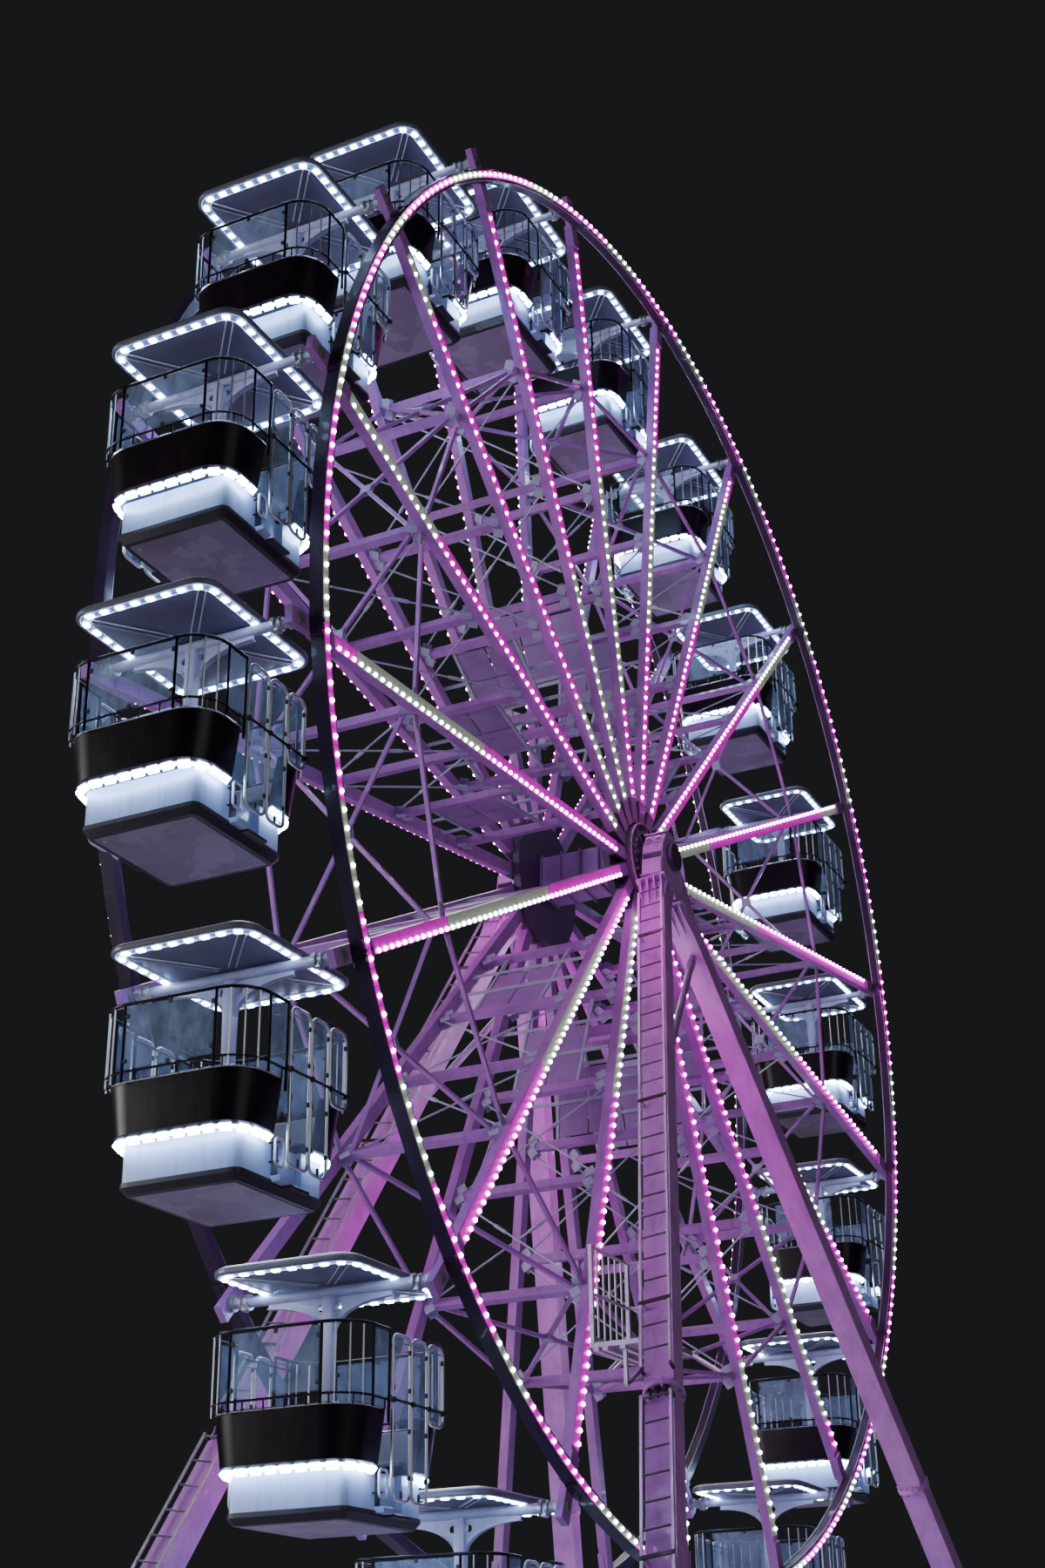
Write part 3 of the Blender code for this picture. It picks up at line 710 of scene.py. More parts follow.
def lip_lamps():
    """Bright lamps and their diffuser under the bowl's lip, round both ends."""
    parts = []
    for side, inner in ((-1, DOOR_LEFT - 0.02), (1, DOOR_RIGHT + 0.02)):
        route = end_path(side, inner, 0.915, 0.765, 0.30, BOWL_BOTTOM - 0.018, 6)
        parts.append(tube("diffuser", route, 0.019, CABIN_LAMP, False, 1))
        places = []
        for place, along in spaced(route, LIP_LAMP_PITCH, False, 0.06):
            outwards = along.cross(Vector((0, 0, side)))
            places.append(basis(place + outwards * -0.004, along, outwards + Vector((0, 0, -0.9))))
        parts.append(array_of(lamp_bar(0.115, 0.080, 0.034), "lip", places))
    return joined("lip_lamps", parts)


def hanger():
    """Pipe on the pivot with its collars and nuts, the web under it and the post to the floor."""
    turned = start_piece("turned")
    for side in SIDES:
        rod((0, side * 1.24, 0), (0, side * 1.335, 0), 0.043, 20)
        rod((0, side * 1.343, 0), (0, side * 1.362, 0), 0.066, 6)
        rod((0, side * 1.341, 0), (0, side * 1.346, 0), 0.078, 20)
        for reach, radius, width in ((1.02, 0.088, 0.045), (1.10, 0.080, 0.035), (1.215, 0.086, 0.045)):
            rod((0, side * (reach - width / 2), 0), (0, side * (reach + width / 2), 0), radius, 24)
        block((-0.05, side * 1.025, -0.10), (0.05, side * 1.095, 0.03), 0.012)
    turned = end_piece(turned, BOLT)
    pipe = start_piece("pipe")
    rod((0, -1.245, 0), (0, 1.245, 0), 0.0598, 28)
    pipe = end_piece(pipe, WHITE)

    outline = [(WEB_HALF_WIDTH, -0.02), (WEB_HALF_WIDTH, -0.11)]
    for step in range(1, 11):
        angle = math.pi / 2 * step / 10
        outline.append((
            WEB_HALF_WIDTH - 0.70 * math.sin(angle), 0.33 * math.cos(angle) - WEB_DEPTH))
    outline += [(-y, z) for y, z in reversed(outline)]
    web = cut_sheet("web", outline, 0.022, WHITE, basis((0, 0, 0), (0, 1, 0), (1, 0, 0)))
    cut_with(web, *[
        cutter_rod((-0.1, y, -0.16), (0.1, y, -0.16), 0.042) for y in (-0.105, 0.105)])
    edge = [(0, y, z) for y, z in outline[1:-1]]
    trims = start_piece("trims")
    for first, second in zip(edge, edge[1:]):
        if abs(first[1]) > 0.065 or abs(second[1]) > 0.065:
            bar(first, second, 0.075, 0.010, (1, 0, 0))
    trims = end_piece(trims, WHITE)

    post = start_piece("post")
    block((-0.045, -0.045, FRAME_TOP + 0.02), (0.045, 0.045, -0.05))
    select_faces(post, lambda centre, normal: normal.z > 0.9)
    bpy.ops.transform.resize(value=(1.44, 1.44, 1), center_override=(0, 0, -0.05))
    select_faces(post, lambda centre, normal: abs(normal.z) < 0.9)
    bpy.ops.mesh.bevel(offset=0.012, segments=2, affect="EDGES")
    block((-0.11, -0.11, FRAME_TOP + 0.02), (0.11, 0.11, FRAME_TOP + 0.045), 0.006)
    post = end_piece(post, WHITE)
    return joined("hanger", [pipe, turned, web, trims, post])


def bowl():
    """Two moulded end bowls with benches, either side of the door passage."""
    skin = start_piece("skin")
    rounded_plate(*BOWL_FOOT, 0.33, BOWL_BOTTOM, BOWL_BOTTOM + 0.03, 8)
    bpy.ops.transform.resize(value=widened(BOWL_FOOT, BOWL_BELLY), center_override=(0, 0, 0))
    extrude_up(BOWL_TOP - BOWL_BOTTOM - 0.03, widened(BOWL_BELLY, BOWL_LIP))
    bpy.ops.mesh.inset(thickness=0.016, depth=0.010)
    bpy.ops.mesh.inset(thickness=0.018, depth=0.0)
    extrude_up(SEAT_TOP - BOWL_TOP - 0.01, (0.94, 0.90, 1))
    skin = end_piece(skin, BOWL)
    cut_with(skin, cutter_block((DOOR_LEFT, -1.2, -2.0), (DOOR_RIGHT, 1.2, -1.0)))
    seats = start_piece("seats")
    for side, inner in ((-1, DOOR_LEFT - 0.03), (1, DOOR_RIGHT + 0.03)):
        block((inner, -0.60, SEAT_TOP), (side * 0.86, 0.60, SEAT_TOP + 0.07), 0.03, 3)
        block((side * 0.83, -0.56, SEAT_TOP + 0.08), (side * 0.90, 0.56, BOWL_TOP - 0.02), 0.03, 3)
    seats = end_piece(seats, SEAT)
    return joined("bowl", [skin, seats])


def tub():
    """White tub, tinted blue by a painted glow, under the bowls: wall cut open at the doors, dark base,
    floor, steps and sills.
    """
    half_x, half_y, corner = TUB
    wall = start_piece("wall")
    rounded_plate(half_x, half_y, corner, FRAME_TOP - 0.01, BOWL_BOTTOM - 0.002, 4)
    wall = end_piece(wall, TUB_WHITE_PAINTED_GLOW)
    cuts = [cutter_block((DOOR_LEFT, -0.60, FRAME_TOP + 0.02), (DOOR_RIGHT, 0.60, -1.5))]
    for side in SIDES:
        cuts.append(cutter_block(
            (SILL_LEFT, side * 0.62, FRAME_TOP + 0.03), (SILL_RIGHT, side * 0.8, -1.5)))
    cut_with(wall, *cuts)
    base = start_piece("base")
    rounded_plate(half_x - 0.035, half_y - 0.035, corner, FLOOR_BOTTOM, FLOOR_BOTTOM + 0.07, 3)
    bpy.ops.transform.resize(value=(1.07, 1.077, 1), center_override=(0, 0, 0))
    extrude_up(0.045)
    bpy.ops.mesh.inset(thickness=0.012, depth=0.006)
    base = end_piece(base, FRAME_PAINT)
    under = start_piece("under")
    rounded_plate(half_x - 0.09, half_y - 0.09, 0.03, FLOOR_BOTTOM - 0.006, FLOOR_BOTTOM + 0.01, 2)
    under = end_piece(under, UNDER)
    rivets = start_piece("rivets")
    for sign_x, sign_y in CORNERS:
        bolt((sign_x * 0.60, sign_y * 0.52, FLOOR_BOTTOM - 0.006), (0, 0, -1), 0.014, 0.010)
    rivets = end_piece(rivets, BOLT)
    floor = start_piece("floor")
    block((DOOR_LEFT + 0.005, -0.595, FRAME_TOP + 0.021), (DOOR_RIGHT - 0.005, 0.595, FRAME_TOP + 0.03))
    for side in SIDES:
        block((SILL_LEFT + 0.005, side * 0.615, FRAME_TOP + 0.031),
              (SILL_RIGHT - 0.005, side * 0.685, FRAME_TOP + 0.042))
    floor = end_piece(floor, TREAD)
    steps = start_piece("steps")
    for side in SIDES:
        block((SILL_LEFT, side * 0.66, FRAME_TOP - 0.03), (-0.02, side * 0.80, FRAME_TOP + 0.035), 0.008)
    steps = end_piece(steps, TUB_WHITE_PAINTED_GLOW)
    dark = start_piece("dark")
    for side in SIDES:
        block((0.0, side * 0.69, FRAME_TOP - 0.05), (SILL_RIGHT, side * 0.80, FRAME_TOP - 0.02), 0.004)
        block((SILL_LEFT + 0.005, side * 0.615, FRAME_TOP + 0.03),
              (0.02, side * 0.628, BOWL_BOTTOM - 0.01), 0.002)
    dark = end_piece(dark, FRAME_PAINT)
    return joined("tub", [wall, base, under, rivets, floor, steps, dark])


def loop_points(left, right, low, high, y, corner=0.06):
    """Closed upright loop in the door plane."""
    middle_x, middle_z = (left + right) / 2, (low + high) / 2
    flat = ring_path((right - left) / 2, (high - low) / 2, corner, 0, 4)
    return [(middle_x + x, y, middle_z + z) for x, z, _ in flat]


def rails():
    """Posts, thin bars and level rails round both ends of a cabin, above the bowls."""
    half_x, half_y, corner = RAIL
    parts = []
    posts = start_piece("posts")
    bars = []
    for side, inner in END_POSTS:
        for sign_y in SIDES:
            flat_x, flat_y = side * (half_x - corner), sign_y * (half_y - corner)
            rod((side * half_x, flat_y, BOWL_TOP), (side * half_x, flat_y, RAIL_TOP), 0.017, 10)
            rod((flat_x, sign_y * half_y, BOWL_TOP), (flat_x, sign_y * half_y, RAIL_TOP), 0.015, 10)
            rod((inner, sign_y * half_y, BOWL_TOP - 0.12), (inner, sign_y * half_y, RAIL_TOP), 0.017, 10)
            for share in (0.25, 0.5, 0.75):
                angle = math.pi / 2 * share
                bars.append((flat_x + side * corner * math.sin(angle),
                             flat_y + sign_y * corner * math.cos(angle)))
    for side, inner in END_POSTS:
        route = end_path(side, inner, half_x - 0.01, half_y - 0.01, corner, LOW_RAIL, 6)
        for place, _ in spaced(route, 0.25, False, 0.06):
            rod((place.x, place.y, BOWL_TOP), (place.x, place.y, LOW_RAIL), 0.010, 6)
    # Posts and low bars: chrome with painted dark reflection
    parts.append(end_piece(posts, TUBE_PAINTED_DARK_REFLECTION))
    thin = start_piece("thin")
    for x, y in bars:
        rod((x, y, BOWL_TOP), (x, y, RAIL_TOP), 0.010, 6)
    parts.append(end_piece(thin, DOOR_CHROME))
    for side, inner in END_POSTS:
        # Top and low rails: chrome with painted dark reflection
        top = end_path(side, inner, half_x, half_y, corner, RAIL_TOP, 7)
        parts.append(tube("top", top, 0.019, TUBE_PAINTED_DARK_REFLECTION))
        low = end_path(side, inner, half_x, half_y, corner, LOW_RAIL, 7)
        parts.append(tube("low", low, 0.013, TUBE_PAINTED_DARK_REFLECTION, False, 1))
        line = end_path(side, inner, *BOWL_LIP, 0.38, BOWL_TOP + 0.012, 7)
        parts.append(tube("line", line, 0.013, CHROME, False, 1))
    return joined("rails", parts)


def doors():
    """Tube frames of the door leaves on both long sides, their handles, guides and stays."""
    parts = []
    for side in SIDES:
        y = side * DOOR_Y
        for left, right, bottom in LEAVES:
            parts.append(tube("leaf", loop_points(left, right, bottom, DOOR_TOP, y, 0.09),
                              0.018, DOOR_CHROME, True, 2))
        handle = loop_points(-0.30, -0.14, -2.15, -1.88, side * HANDLE_Y, 0.045)
        parts.append(tube("handle", handle, 0.016, CANOPY_WHITE, True, 2))
        # Guides here and the stays below: chrome with painted dark reflection
        for reach, z, radius in (
                (OUTER_GUIDE_Y, LOW_RAIL, 0.014), (INNER_GUIDE_Y, RAIL_TOP - 0.10, 0.010)):
            guide = [(x, side * reach, z) for x in (DOOR_LEFT - 0.02, 0.78)]
            parts.append(tube("guide", guide, radius, TUBE_PAINTED_DARK_REFLECTION, False, 1))
    stays = start_piece("stays")
    for side in SIDES:
        for z in (-2.10, -1.91):
            rod((-0.235, side * HANDLE_Y, z), (-0.235, side * 0.685, z), 0.010, 8)
        for x in (-0.33, *LEAF_GAPS):
            for z in (-0.70, LOW_RAIL + 0.04):
                rod((x, side * 0.90, z), (x, side * DOOR_Y, z), 0.010, 8)
    parts.append(end_piece(stays, TUBE_PAINTED_DARK_REFLECTION))
    return joined("doors", parts)


def panels():
    """Clear sheets between the posts and inside the door loops."""
    half_x, half_y, corner = RAIL
    piece = start_piece("panels")
    low, high = LOW_RAIL + 0.03, RAIL_TOP - 0.03
    for side in SIDES:
        reach = half_y - corner - 0.025
        block((side * half_x - 0.004, -reach, low), (side * half_x + 0.004, reach, high), 0.003)
        y = side * half_y
        block((corner - half_x + 0.02, y - 0.004, low), (DOOR_LEFT - 0.02, y + 0.004, high), 0.003)
        y = side * DOOR_Y
        for left, right, bottom in LEAVES:
            block((left + 0.018, y - 0.004, bottom + 0.018),
                  (right - 0.018, y + 0.004, DOOR_TOP - 0.018), 0.003)
    return end_piece(piece, GLASS)


def clamps():
    """Small black clamps that hold the sheets, and the foot guides of the door leaves."""
    half_x, half_y, corner = RAIL
    piece = start_piece("clamps")
    for side in SIDES:
        reach = half_y - corner - 0.03
        for y in (-reach, reach):
            for z in (-0.66, -1.12):
                block((side * half_x - 0.014, y - 0.022, z - 0.022),
                      (side * half_x + 0.014, y + 0.022, z + 0.022), 0.005)
        for z in (RAIL_TOP - 0.035, LOW_RAIL + 0.035):
            block((side * half_x - 0.012, -0.02, z - 0.03),
                  (side * half_x + 0.012, 0.02, z + 0.03), 0.005)
    for side in SIDES:
        y = side * DOOR_Y
        guide_y = side * (OUTER_GUIDE_Y - 0.007)
        for left, right, bottom in LEAVES:
            heights = (-0.72, -1.10, -1.50, -1.95) if bottom == DOOR_BOTTOM else (-0.72, -1.24)
            for z in heights:
                for x in (left + 0.02, right - 0.02):
                    block((x - 0.016, y - 0.014, z - 0.024), (x + 0.016, y + 0.014, z + 0.024), 0.005)
        for x in (DOOR_LEFT, *LEAF_GAPS, 0.74):
            block((x - 0.022, guide_y - 0.024, LOW_RAIL - 0.026),
                  (x + 0.022, guide_y + 0.024, LOW_RAIL + 0.026), 0.006)
        for left, right, bottom in SLIDING_LEAVES:
            middle = (left + right) / 2
            block((middle - 0.012, y - 0.012, bottom + 0.01),
                  (middle + 0.012, y + 0.012, bottom + 0.09), 0.004)
    return end_piece(piece, RUBBER)


def spoke_angle(index):
    return REST_TURN + index * STEP_ANGLE


def polar(radius, y, angle):
    return HUB + Vector((radius * math.sin(angle), y, radius * math.cos(angle)))


def make_cabins():
    """Each cabin piece is modelled once about the pivot and copied to all the cabins."""
    sources = {
        "canopy": (canopy(), "cabin_shell"),
        "canopy_lamps": (canopy_lamps(), "lamp_cool"),
        "lip_lamps": (lip_lamps(), "lamp_cool"),
        "hanger": (hanger(), "white_steel"),
        "bowl": (bowl(), "bowl_gloss"),
        "tub": (tub(), "cabin_shell"),
        "rails": (rails(), "rail_tube"),
        "doors": (doors(), "rail_tube"),
        "panels": (panels(), "clear_panel"),
        "clamps": (clamps(), "dark_rim"),
    }
    for index in range(SPOKE_COUNT):
        number = f"{index + 1:02d}"
        place = Matrix.Translation(polar(PIVOT_RADIUS, 0, spoke_angle(index)))
        for part, (source, slot) in sources.items():
            piece = copied(source, f"cabin_{number}_{part}", place)
            kept(piece, f"cabin_body_{number}", [f"cabin_{number}"])
    for source, _ in sources.values():
        bpy.data.objects.remove(source, do_unlink=True)


# Wheel pieces; a run is a stretch of pale lamps with the pink ones after it

BULB_PITCH = 0.1708
BULB_RADIUS = 0.027
BULB_LIFT = 0.009
BULBS_PER_SPOKE = 50
BULB_START = 1.07
BULB_OFFSET = -0.055
BULBS_PER_SECTOR = 18
RIM_RUNS = 21
RIM_RUN_SHARE = 0.36
RIM_SHIFT = 2
SPOKE_RUN = 54
SPOKE_PALE = 20
SPOKE_SHIFT = 9
UNSHIFTED_SPOKE = 4


def spoke_y(radius):
    """Distance of a spoke's middle line from the wheel's middle plane."""
    share = (radius - SPOKE_START[0]) / (SPOKE_END[0] - SPOKE_START[0])
    return SPOKE_START[1] + (SPOKE_END[1] - SPOKE_START[1]) * share


def bulb(finish):
    """Domed lamp cap standing on z = 0."""
    piece = start_piece("bulb")
    bpy.ops.mesh.primitive_circle_add(vertices=8, radius=BULB_RADIUS, fill_type="NGON")
    for height, scale in ((0.012, 1.0), (0.011, 0.72), (0.005, 0.45)):
        extrude_up(height, (scale, scale, 1))
    return end_piece(piece, finish, 50)


def lamp_tray(finish, length, width, shift):
    """Length of tray under one lamp cap, glowing with painted lamp light, its top just under z = 0."""
    piece = start_piece("tray")
    block((-length / 2, shift - width / 2, -0.0085), (length / 2, shift + width / 2, -0.0005))
    return end_piece(piece, finish)


def on_spoke(radius, across, lift, side, angle):
    """Point on the outer face of a spoke; across is measured clockwise."""
    place = polar(radius, side * (spoke_y(radius) + SPOKE_HALF_DEPTH + lift), angle)
    return place + Vector((math.cos(angle), 0, -math.sin(angle))) * across


def make_lamps():
    """Lamp caps on trays that glow with painted lamp light, in runs of pink and pale, round each rim and
    along each spoke.
    """
    total = SPOKE_COUNT * BULBS_PER_SECTOR
    rim_pitch = 2 * math.pi * LAMP_RADIUS / total
    for side, end in ENDS:
        on_rim = {"pink": [], "pale": []}
        on_frame = {"pink": [], "pale": []}
        for number in range(total):
            angle = REST_TURN + 2 * math.pi * (number + 0.5) / total
            place = polar(LAMP_RADIUS, side * (RIM_FACE_Y + BULB_LIFT), angle)
            run = ((number - RIM_SHIFT) * RIM_RUNS / total) % 1.0
            tangent = Vector((math.cos(angle), 0, -math.sin(angle)))
            colour = "pale" if run < RIM_RUN_SHARE else "pink"
            on_rim[colour].append(basis(place, tangent, (0, side, 0)))
        for index in range(SPOKE_COUNT):
            angle = spoke_angle(index)
            first = on_spoke(BULB_START, BULB_OFFSET, BULB_LIFT, side, angle)
            last = on_spoke(SPOKE_END[0], BULB_OFFSET, BULB_LIFT, side, angle)
            for number in range(BULBS_PER_SPOKE):
                radius = BULB_START + number * BULB_PITCH
                place = on_spoke(radius, BULB_OFFSET, BULB_LIFT, side, angle)
                run = (number - SPOKE_SHIFT * (index - UNSHIFTED_SPOKE)) % SPOKE_RUN
                colour = "pale" if run < SPOKE_PALE else "pink"
                on_frame[colour].append(basis(place, last - first, (0, side, 0)))
        # Each cap is a lamp; its tray glows with painted lamp light
        for colour, cap, tray in (("pink", PINK_LAMP, PINK_TRAY_PAINTED_GLOW), ("pale", PALE_LAMP, PALE_TRAY_PAINTED_GLOW)):
            caps = array_of(bulb(cap), f"{end}_{colour}_lamps", on_rim[colour] + on_frame[colour])
            kept(caps, "wheel")
            rim_trays = array_of(
                lamp_tray(tray, rim_pitch - 0.004, 0.10, 0), "trays", on_rim[colour])
            frame_trays = array_of(
                lamp_tray(tray, BULB_PITCH - 0.004, 0.172, -side * BULB_OFFSET), "trays",
                on_frame[colour])
            kept(joined(f"{end}_{colour}_trays", [rim_trays, frame_trays]), "wheel")


def wheel_turn(angle):
    """Turns something modelled for a spoke that points straight up."""
    return Matrix.Translation(HUB) @ Matrix.Rotation(angle, 4, "Y") @ Matrix.Translation(-HUB)


def at_each_spoke(source, name):
    """Copies round the wheel of something modelled for the top spoke, joined."""
    return array_of(source, name, [wheel_turn(spoke_angle(index)) for index in range(SPOKE_COUNT)])


def make_rim_joints():
    """Bolted joint plates of the rims, the pivot bearings at the spoke ends and the edge strips."""
    for side, end in ENDS:
        plates = start_piece("plates")
        top = HUB.z + LAMP_RADIUS
        front = side * (RIM_FACE_Y + 0.010)
        for edge in SIDES:
            level = top + edge * (RIM_HALF_RADIAL + 0.007)
            block((-0.16, side * (RIM_INNER_Y + 0.004), level - 0.007),
                  (0.16, side * (RIM_FACE_Y + 0.002), level + 0.007), 0.003)
            for x in (-0.11, -0.05, 0.05, 0.11):
                bolt((x, side * 1.42, level + edge * 0.007), (0, 0, edge), 0.013, 0.012)
            block((-0.035, side * RIM_FACE_Y, top + edge * 0.052),
                  (0.035, front, top + edge * 0.085), 0.003)
            bolt((0, front, top + edge * 0.067), (0, side, 0), 0.012, 0.010)
        plates = end_piece(plates, DARK)
        fittings = start_piece("fittings")
        pivot = HUB.z + PIVOT_RADIUS
        inner = LUG_INNER_Y - 0.022
        rod((0, side * inner, pivot), (0, side * LUG_INNER_Y, pivot), 0.092, 20)
        for turn in range(4):
            angle = math.radians(45 + 90 * turn)
            spot = (0.072 * math.cos(angle), side * inner, pivot + 0.072 * math.sin(angle))
            bolt(spot, (0, -side, 0), 0.009, 0.008)
        fittings = end_piece(fittings, BOLT)
        edges = start_piece("edges")
        reach = LAMP_RADIUS - RIM_HALF_RADIAL - 0.006
        for number in range(4):
            for y in (RIM_INNER_Y + 0.012, RIM_FACE_Y - 0.012):
                bar(polar(reach, side * y, STEP_ANGLE * number / 4),
                    polar(reach, side * y, STEP_ANGLE * (number + 1) / 4), 0.010, 0.010, (0, 1, 0))
        edges = end_piece(edges, ZINC)
        source = joined("rim_joint", [plates, fittings, edges])
        kept(at_each_spoke(source, f"{end}_rim_joints"), "wheel")


def make_bracing():
    """Node plates, rod ends, gussets and the thin diagonals of the frames."""
    steel = start_piece("steel")
    outer = STRUT_RADII[-1]
    centre = polar(outer * math.cos(STEP_ANGLE / 2), 0, STEP_ANGLE / 2)
    radial = (centre - HUB).normalized()
    tangent = Vector((radial.z, 0, -radial.x))
    for lift in SIDES:
        middle = centre + radial * lift * 0.032
        bar(middle - radial * 0.006, middle + radial * 0.006, 0.15, 0.15, (0, 1, 0), 0.003)
    for y in (-0.05, 0.05):
        for x in (-0.05, 0.05):
            place = centre + tangent * x + Vector((0, y, 0)) + radial * 0.038
            bolt(place, radial, 0.012, 0.012)
    for side in SIDES:
        for radius in STRUT_RADII:
            y = side * (spoke_y(radius) - SPOKE_HALF_DEPTH)
            for edge, way in CORNERS:
                place = Vector((edge * 0.056, y - side * 0.085, HUB.z + radius + way * 0.085))
                half = Vector((0.004, 0, 0))
                bar(place - half, place + half, 0.13, 0.13, (0, 1, 0.6))
        for radius in STRUT_RADII[1:]:
            place = polar(radius, side * (spoke_y(radius) - 0.18), 0)
            rod(place - Vector((0.075, 0, 0)), place + Vector((0.075, 0, 0)), 0.018, 8)
    for low, high in ((4.1, 5.7), (5.7, 7.35)):
        for side in SIDES:
            start = Vector((side * 0.03, side * (spoke_y(low) - 0.12), HUB.z + low + 0.09))
            end = Vector((side * 0.03, -side * (spoke_y(high) - 0.12), HUB.z + high - 0.09))
            rod(start, end, 0.013, 8)
            along = (end - start).normalized()
            middle = start.lerp(end, 0.36)
            rod(middle - along * 0.11, middle + along * 0.11, 0.024, 8)
    for side in SIDES:
        tie = side * (spoke_y(outer) - 0.05)
        start = polar(outer, tie, 0)
        end = polar(outer, tie, STEP_ANGLE)
        along = (end - start).normalized()
        bar(start + along * 0.09, start + along * 0.26, 0.012, 0.11, (0, 1, 0), 0.003)
        bar(end - along * 0.26, end - along * 0.09, 0.012, 0.11, (0, 1, 0), 0.003)
        for distance in (0.15, 0.21):
            bolt(start + along * distance + Vector((0, side * 0.006, 0)), (0, side, 0), 0.011, 0.03)
            bolt(end - along * distance + Vector((0, side * 0.006, 0)), (0, side, 0), 0.011, 0.03)
    kept(at_each_spoke(end_piece(steel, WHITE), "frame_bracing"), "wheel")


def make_sheets():
    """Four thin sheets between the inner struts of each frame, on their supports."""
    sheets = start_piece("sheets")
    for near, far in ((3.02, 3.50), (3.52, 4.00)):
        for left, right in ((-0.44, -0.01), (0.01, 0.44)):
            block((-0.012, left, HUB.z + near), (0.012, right, HUB.z + far), 0.004)
    sheets = end_piece(sheets, LILAC_PARTLY_PAINTED_GLOW)
    supports = start_piece("supports")
    for side in SIDES:
        bar((0, side * 0.47, HUB.z + 2.56), (0, side * 0.47, HUB.z + 4.04), 0.04, 0.05, (1, 0, 0), 0.004)
    for z in (2.98, 3.51):
        bar((0.03, -0.86, HUB.z + z), (0.03, 0.86, HUB.z + z), 0.03, 0.05, (1, 0, 0), 0.004)
    for z in (3.08, 3.44, 3.58, 3.94):
        for y in (-0.38, -0.07, 0.07, 0.38):
            bolt((-0.012, y, HUB.z + z), (-1, 0, 0), 0.010, 0.008)
    supports = end_piece(supports, WHITE)
    source = joined("sheet_pair", [sheets, supports])
    kept(at_each_spoke(source, "frame_sheets"), "wheel")


def make_hub():
    """Spoke forks and bolt circles on the hubs, and the stiffeners of the axle beam."""
    root = SPOKE_START[0]
    for side, end in ENDS:
        fork = start_piece("fork")
        for edge in SIDES:
            x = edge * (SPOKE_HALF_WIDTH + 0.008)
            block((x - 0.007, side * 0.762, HUB.z + root + 0.01),
                  (x + 0.007, side * (spoke_y(root) + 0.055), HUB.z + 1.0), 0.003)
            for radius in (0.72, 0.86):
                bolt((x + edge * 0.007, side * 0.83, HUB.z + radius), (edge, 0, 0), 0.016, 0.014)
        # Forks take the hub's painted shade
        forks = at_each_spoke(end_piece(fork, HUB_PAINTED_SHADE), "forks")
        rings = start_piece("rings")
        for turn in range(24):
            bolt(polar(0.45, side * 0.96, turn * math.pi / 12), (0, side, 0), 0.022, 0.024)
        for y, radius, thickness, segments in ((0.955, 0.585, 0.016, 48), (0.962, 0.27, 0.020, 40)):
            bpy.ops.mesh.primitive_torus_add(
                location=(0, side * y, HUB.z), rotation=(math.pi / 2, 0, 0), major_radius=radius,
                minor_radius=thickness, major_segments=segments, minor_segments=8)
        for turn in range(9):
            angle = turn * 2 * math.pi / 9
            bar(polar(0.30, side * 0.968, angle), polar(0.56, side * 0.968, angle),
                0.016, 0.016, (0, 1, 0))
        rings = end_piece(rings, BOLT)
        kept(joined(f"{end}_hub_fittings", [forks, rings]), "wheel")
    ribs = start_piece("axle_ribs")
    for y in (-0.62, -0.3, 0.0, 0.3, 0.62):
        for turn in range(4):
            angle = REST_TURN + turn * math.pi / 2
            radial = Vector((math.sin(angle), 0, math.cos(angle)))
            tangent = Vector((radial.z, 0, -radial.x))
            place = HUB + Vector((0, y, 0)) + radial * 0.30
            bar(place - tangent * 0.30, place + tangent * 0.30, 0.04, 0.02, radial)
    kept(end_piece(ribs, FRAME_WHITE_PAINTED_GLOW), "wheel")


# Stand pieces, lengths down a leg measured from its head

HEAD_FLANGE = (0.648, 0.685)
BOLT_CIRCLE = 0.212
TIE_ON_RIGHT = 1.45
TIE_ON_LEFT = 5.0
FIRST_RUNG = 1.015
RUNG_PITCH = 0.33
RUNG_COUNT = 40
LADDER_HALF_WIDTH = 0.17
LADDER_STANDOFF = 0.105


def leg_directions(side_x, side_y):
    """Head and foot of a leg, and its directions: down it, out along X and out along Y."""
    head = Vector((0, side_y * LEG_HEAD_Y, HUB.z))
    foot = Vector((side_x * FOOT[0], side_y * FOOT[1], FOOT[2]))
    along = (foot - head).normalized()
    sideways = Vector((0, side_y, 0))
    sideways = (sideways - along * sideways.dot(along)).normalized()
    outwards = along.cross(sideways)
    if outwards.x * side_x < 0:
        outwards = -outwards
    return head, foot, along, outwards, sideways


def fin(length, height, thickness):
    """Tapered stiffener: its root along X on the level z = 0, full height at x = 0."""
    outline = [(0, -0.004), (length, -0.004), (length, 0.012), (0, height)]
    return cut_sheet("fin", outline, thickness, LEG_WHITE_PAINTED_GLOW, basis((0, 0, 0), (1, 0, 0), (0, -1, 0)))


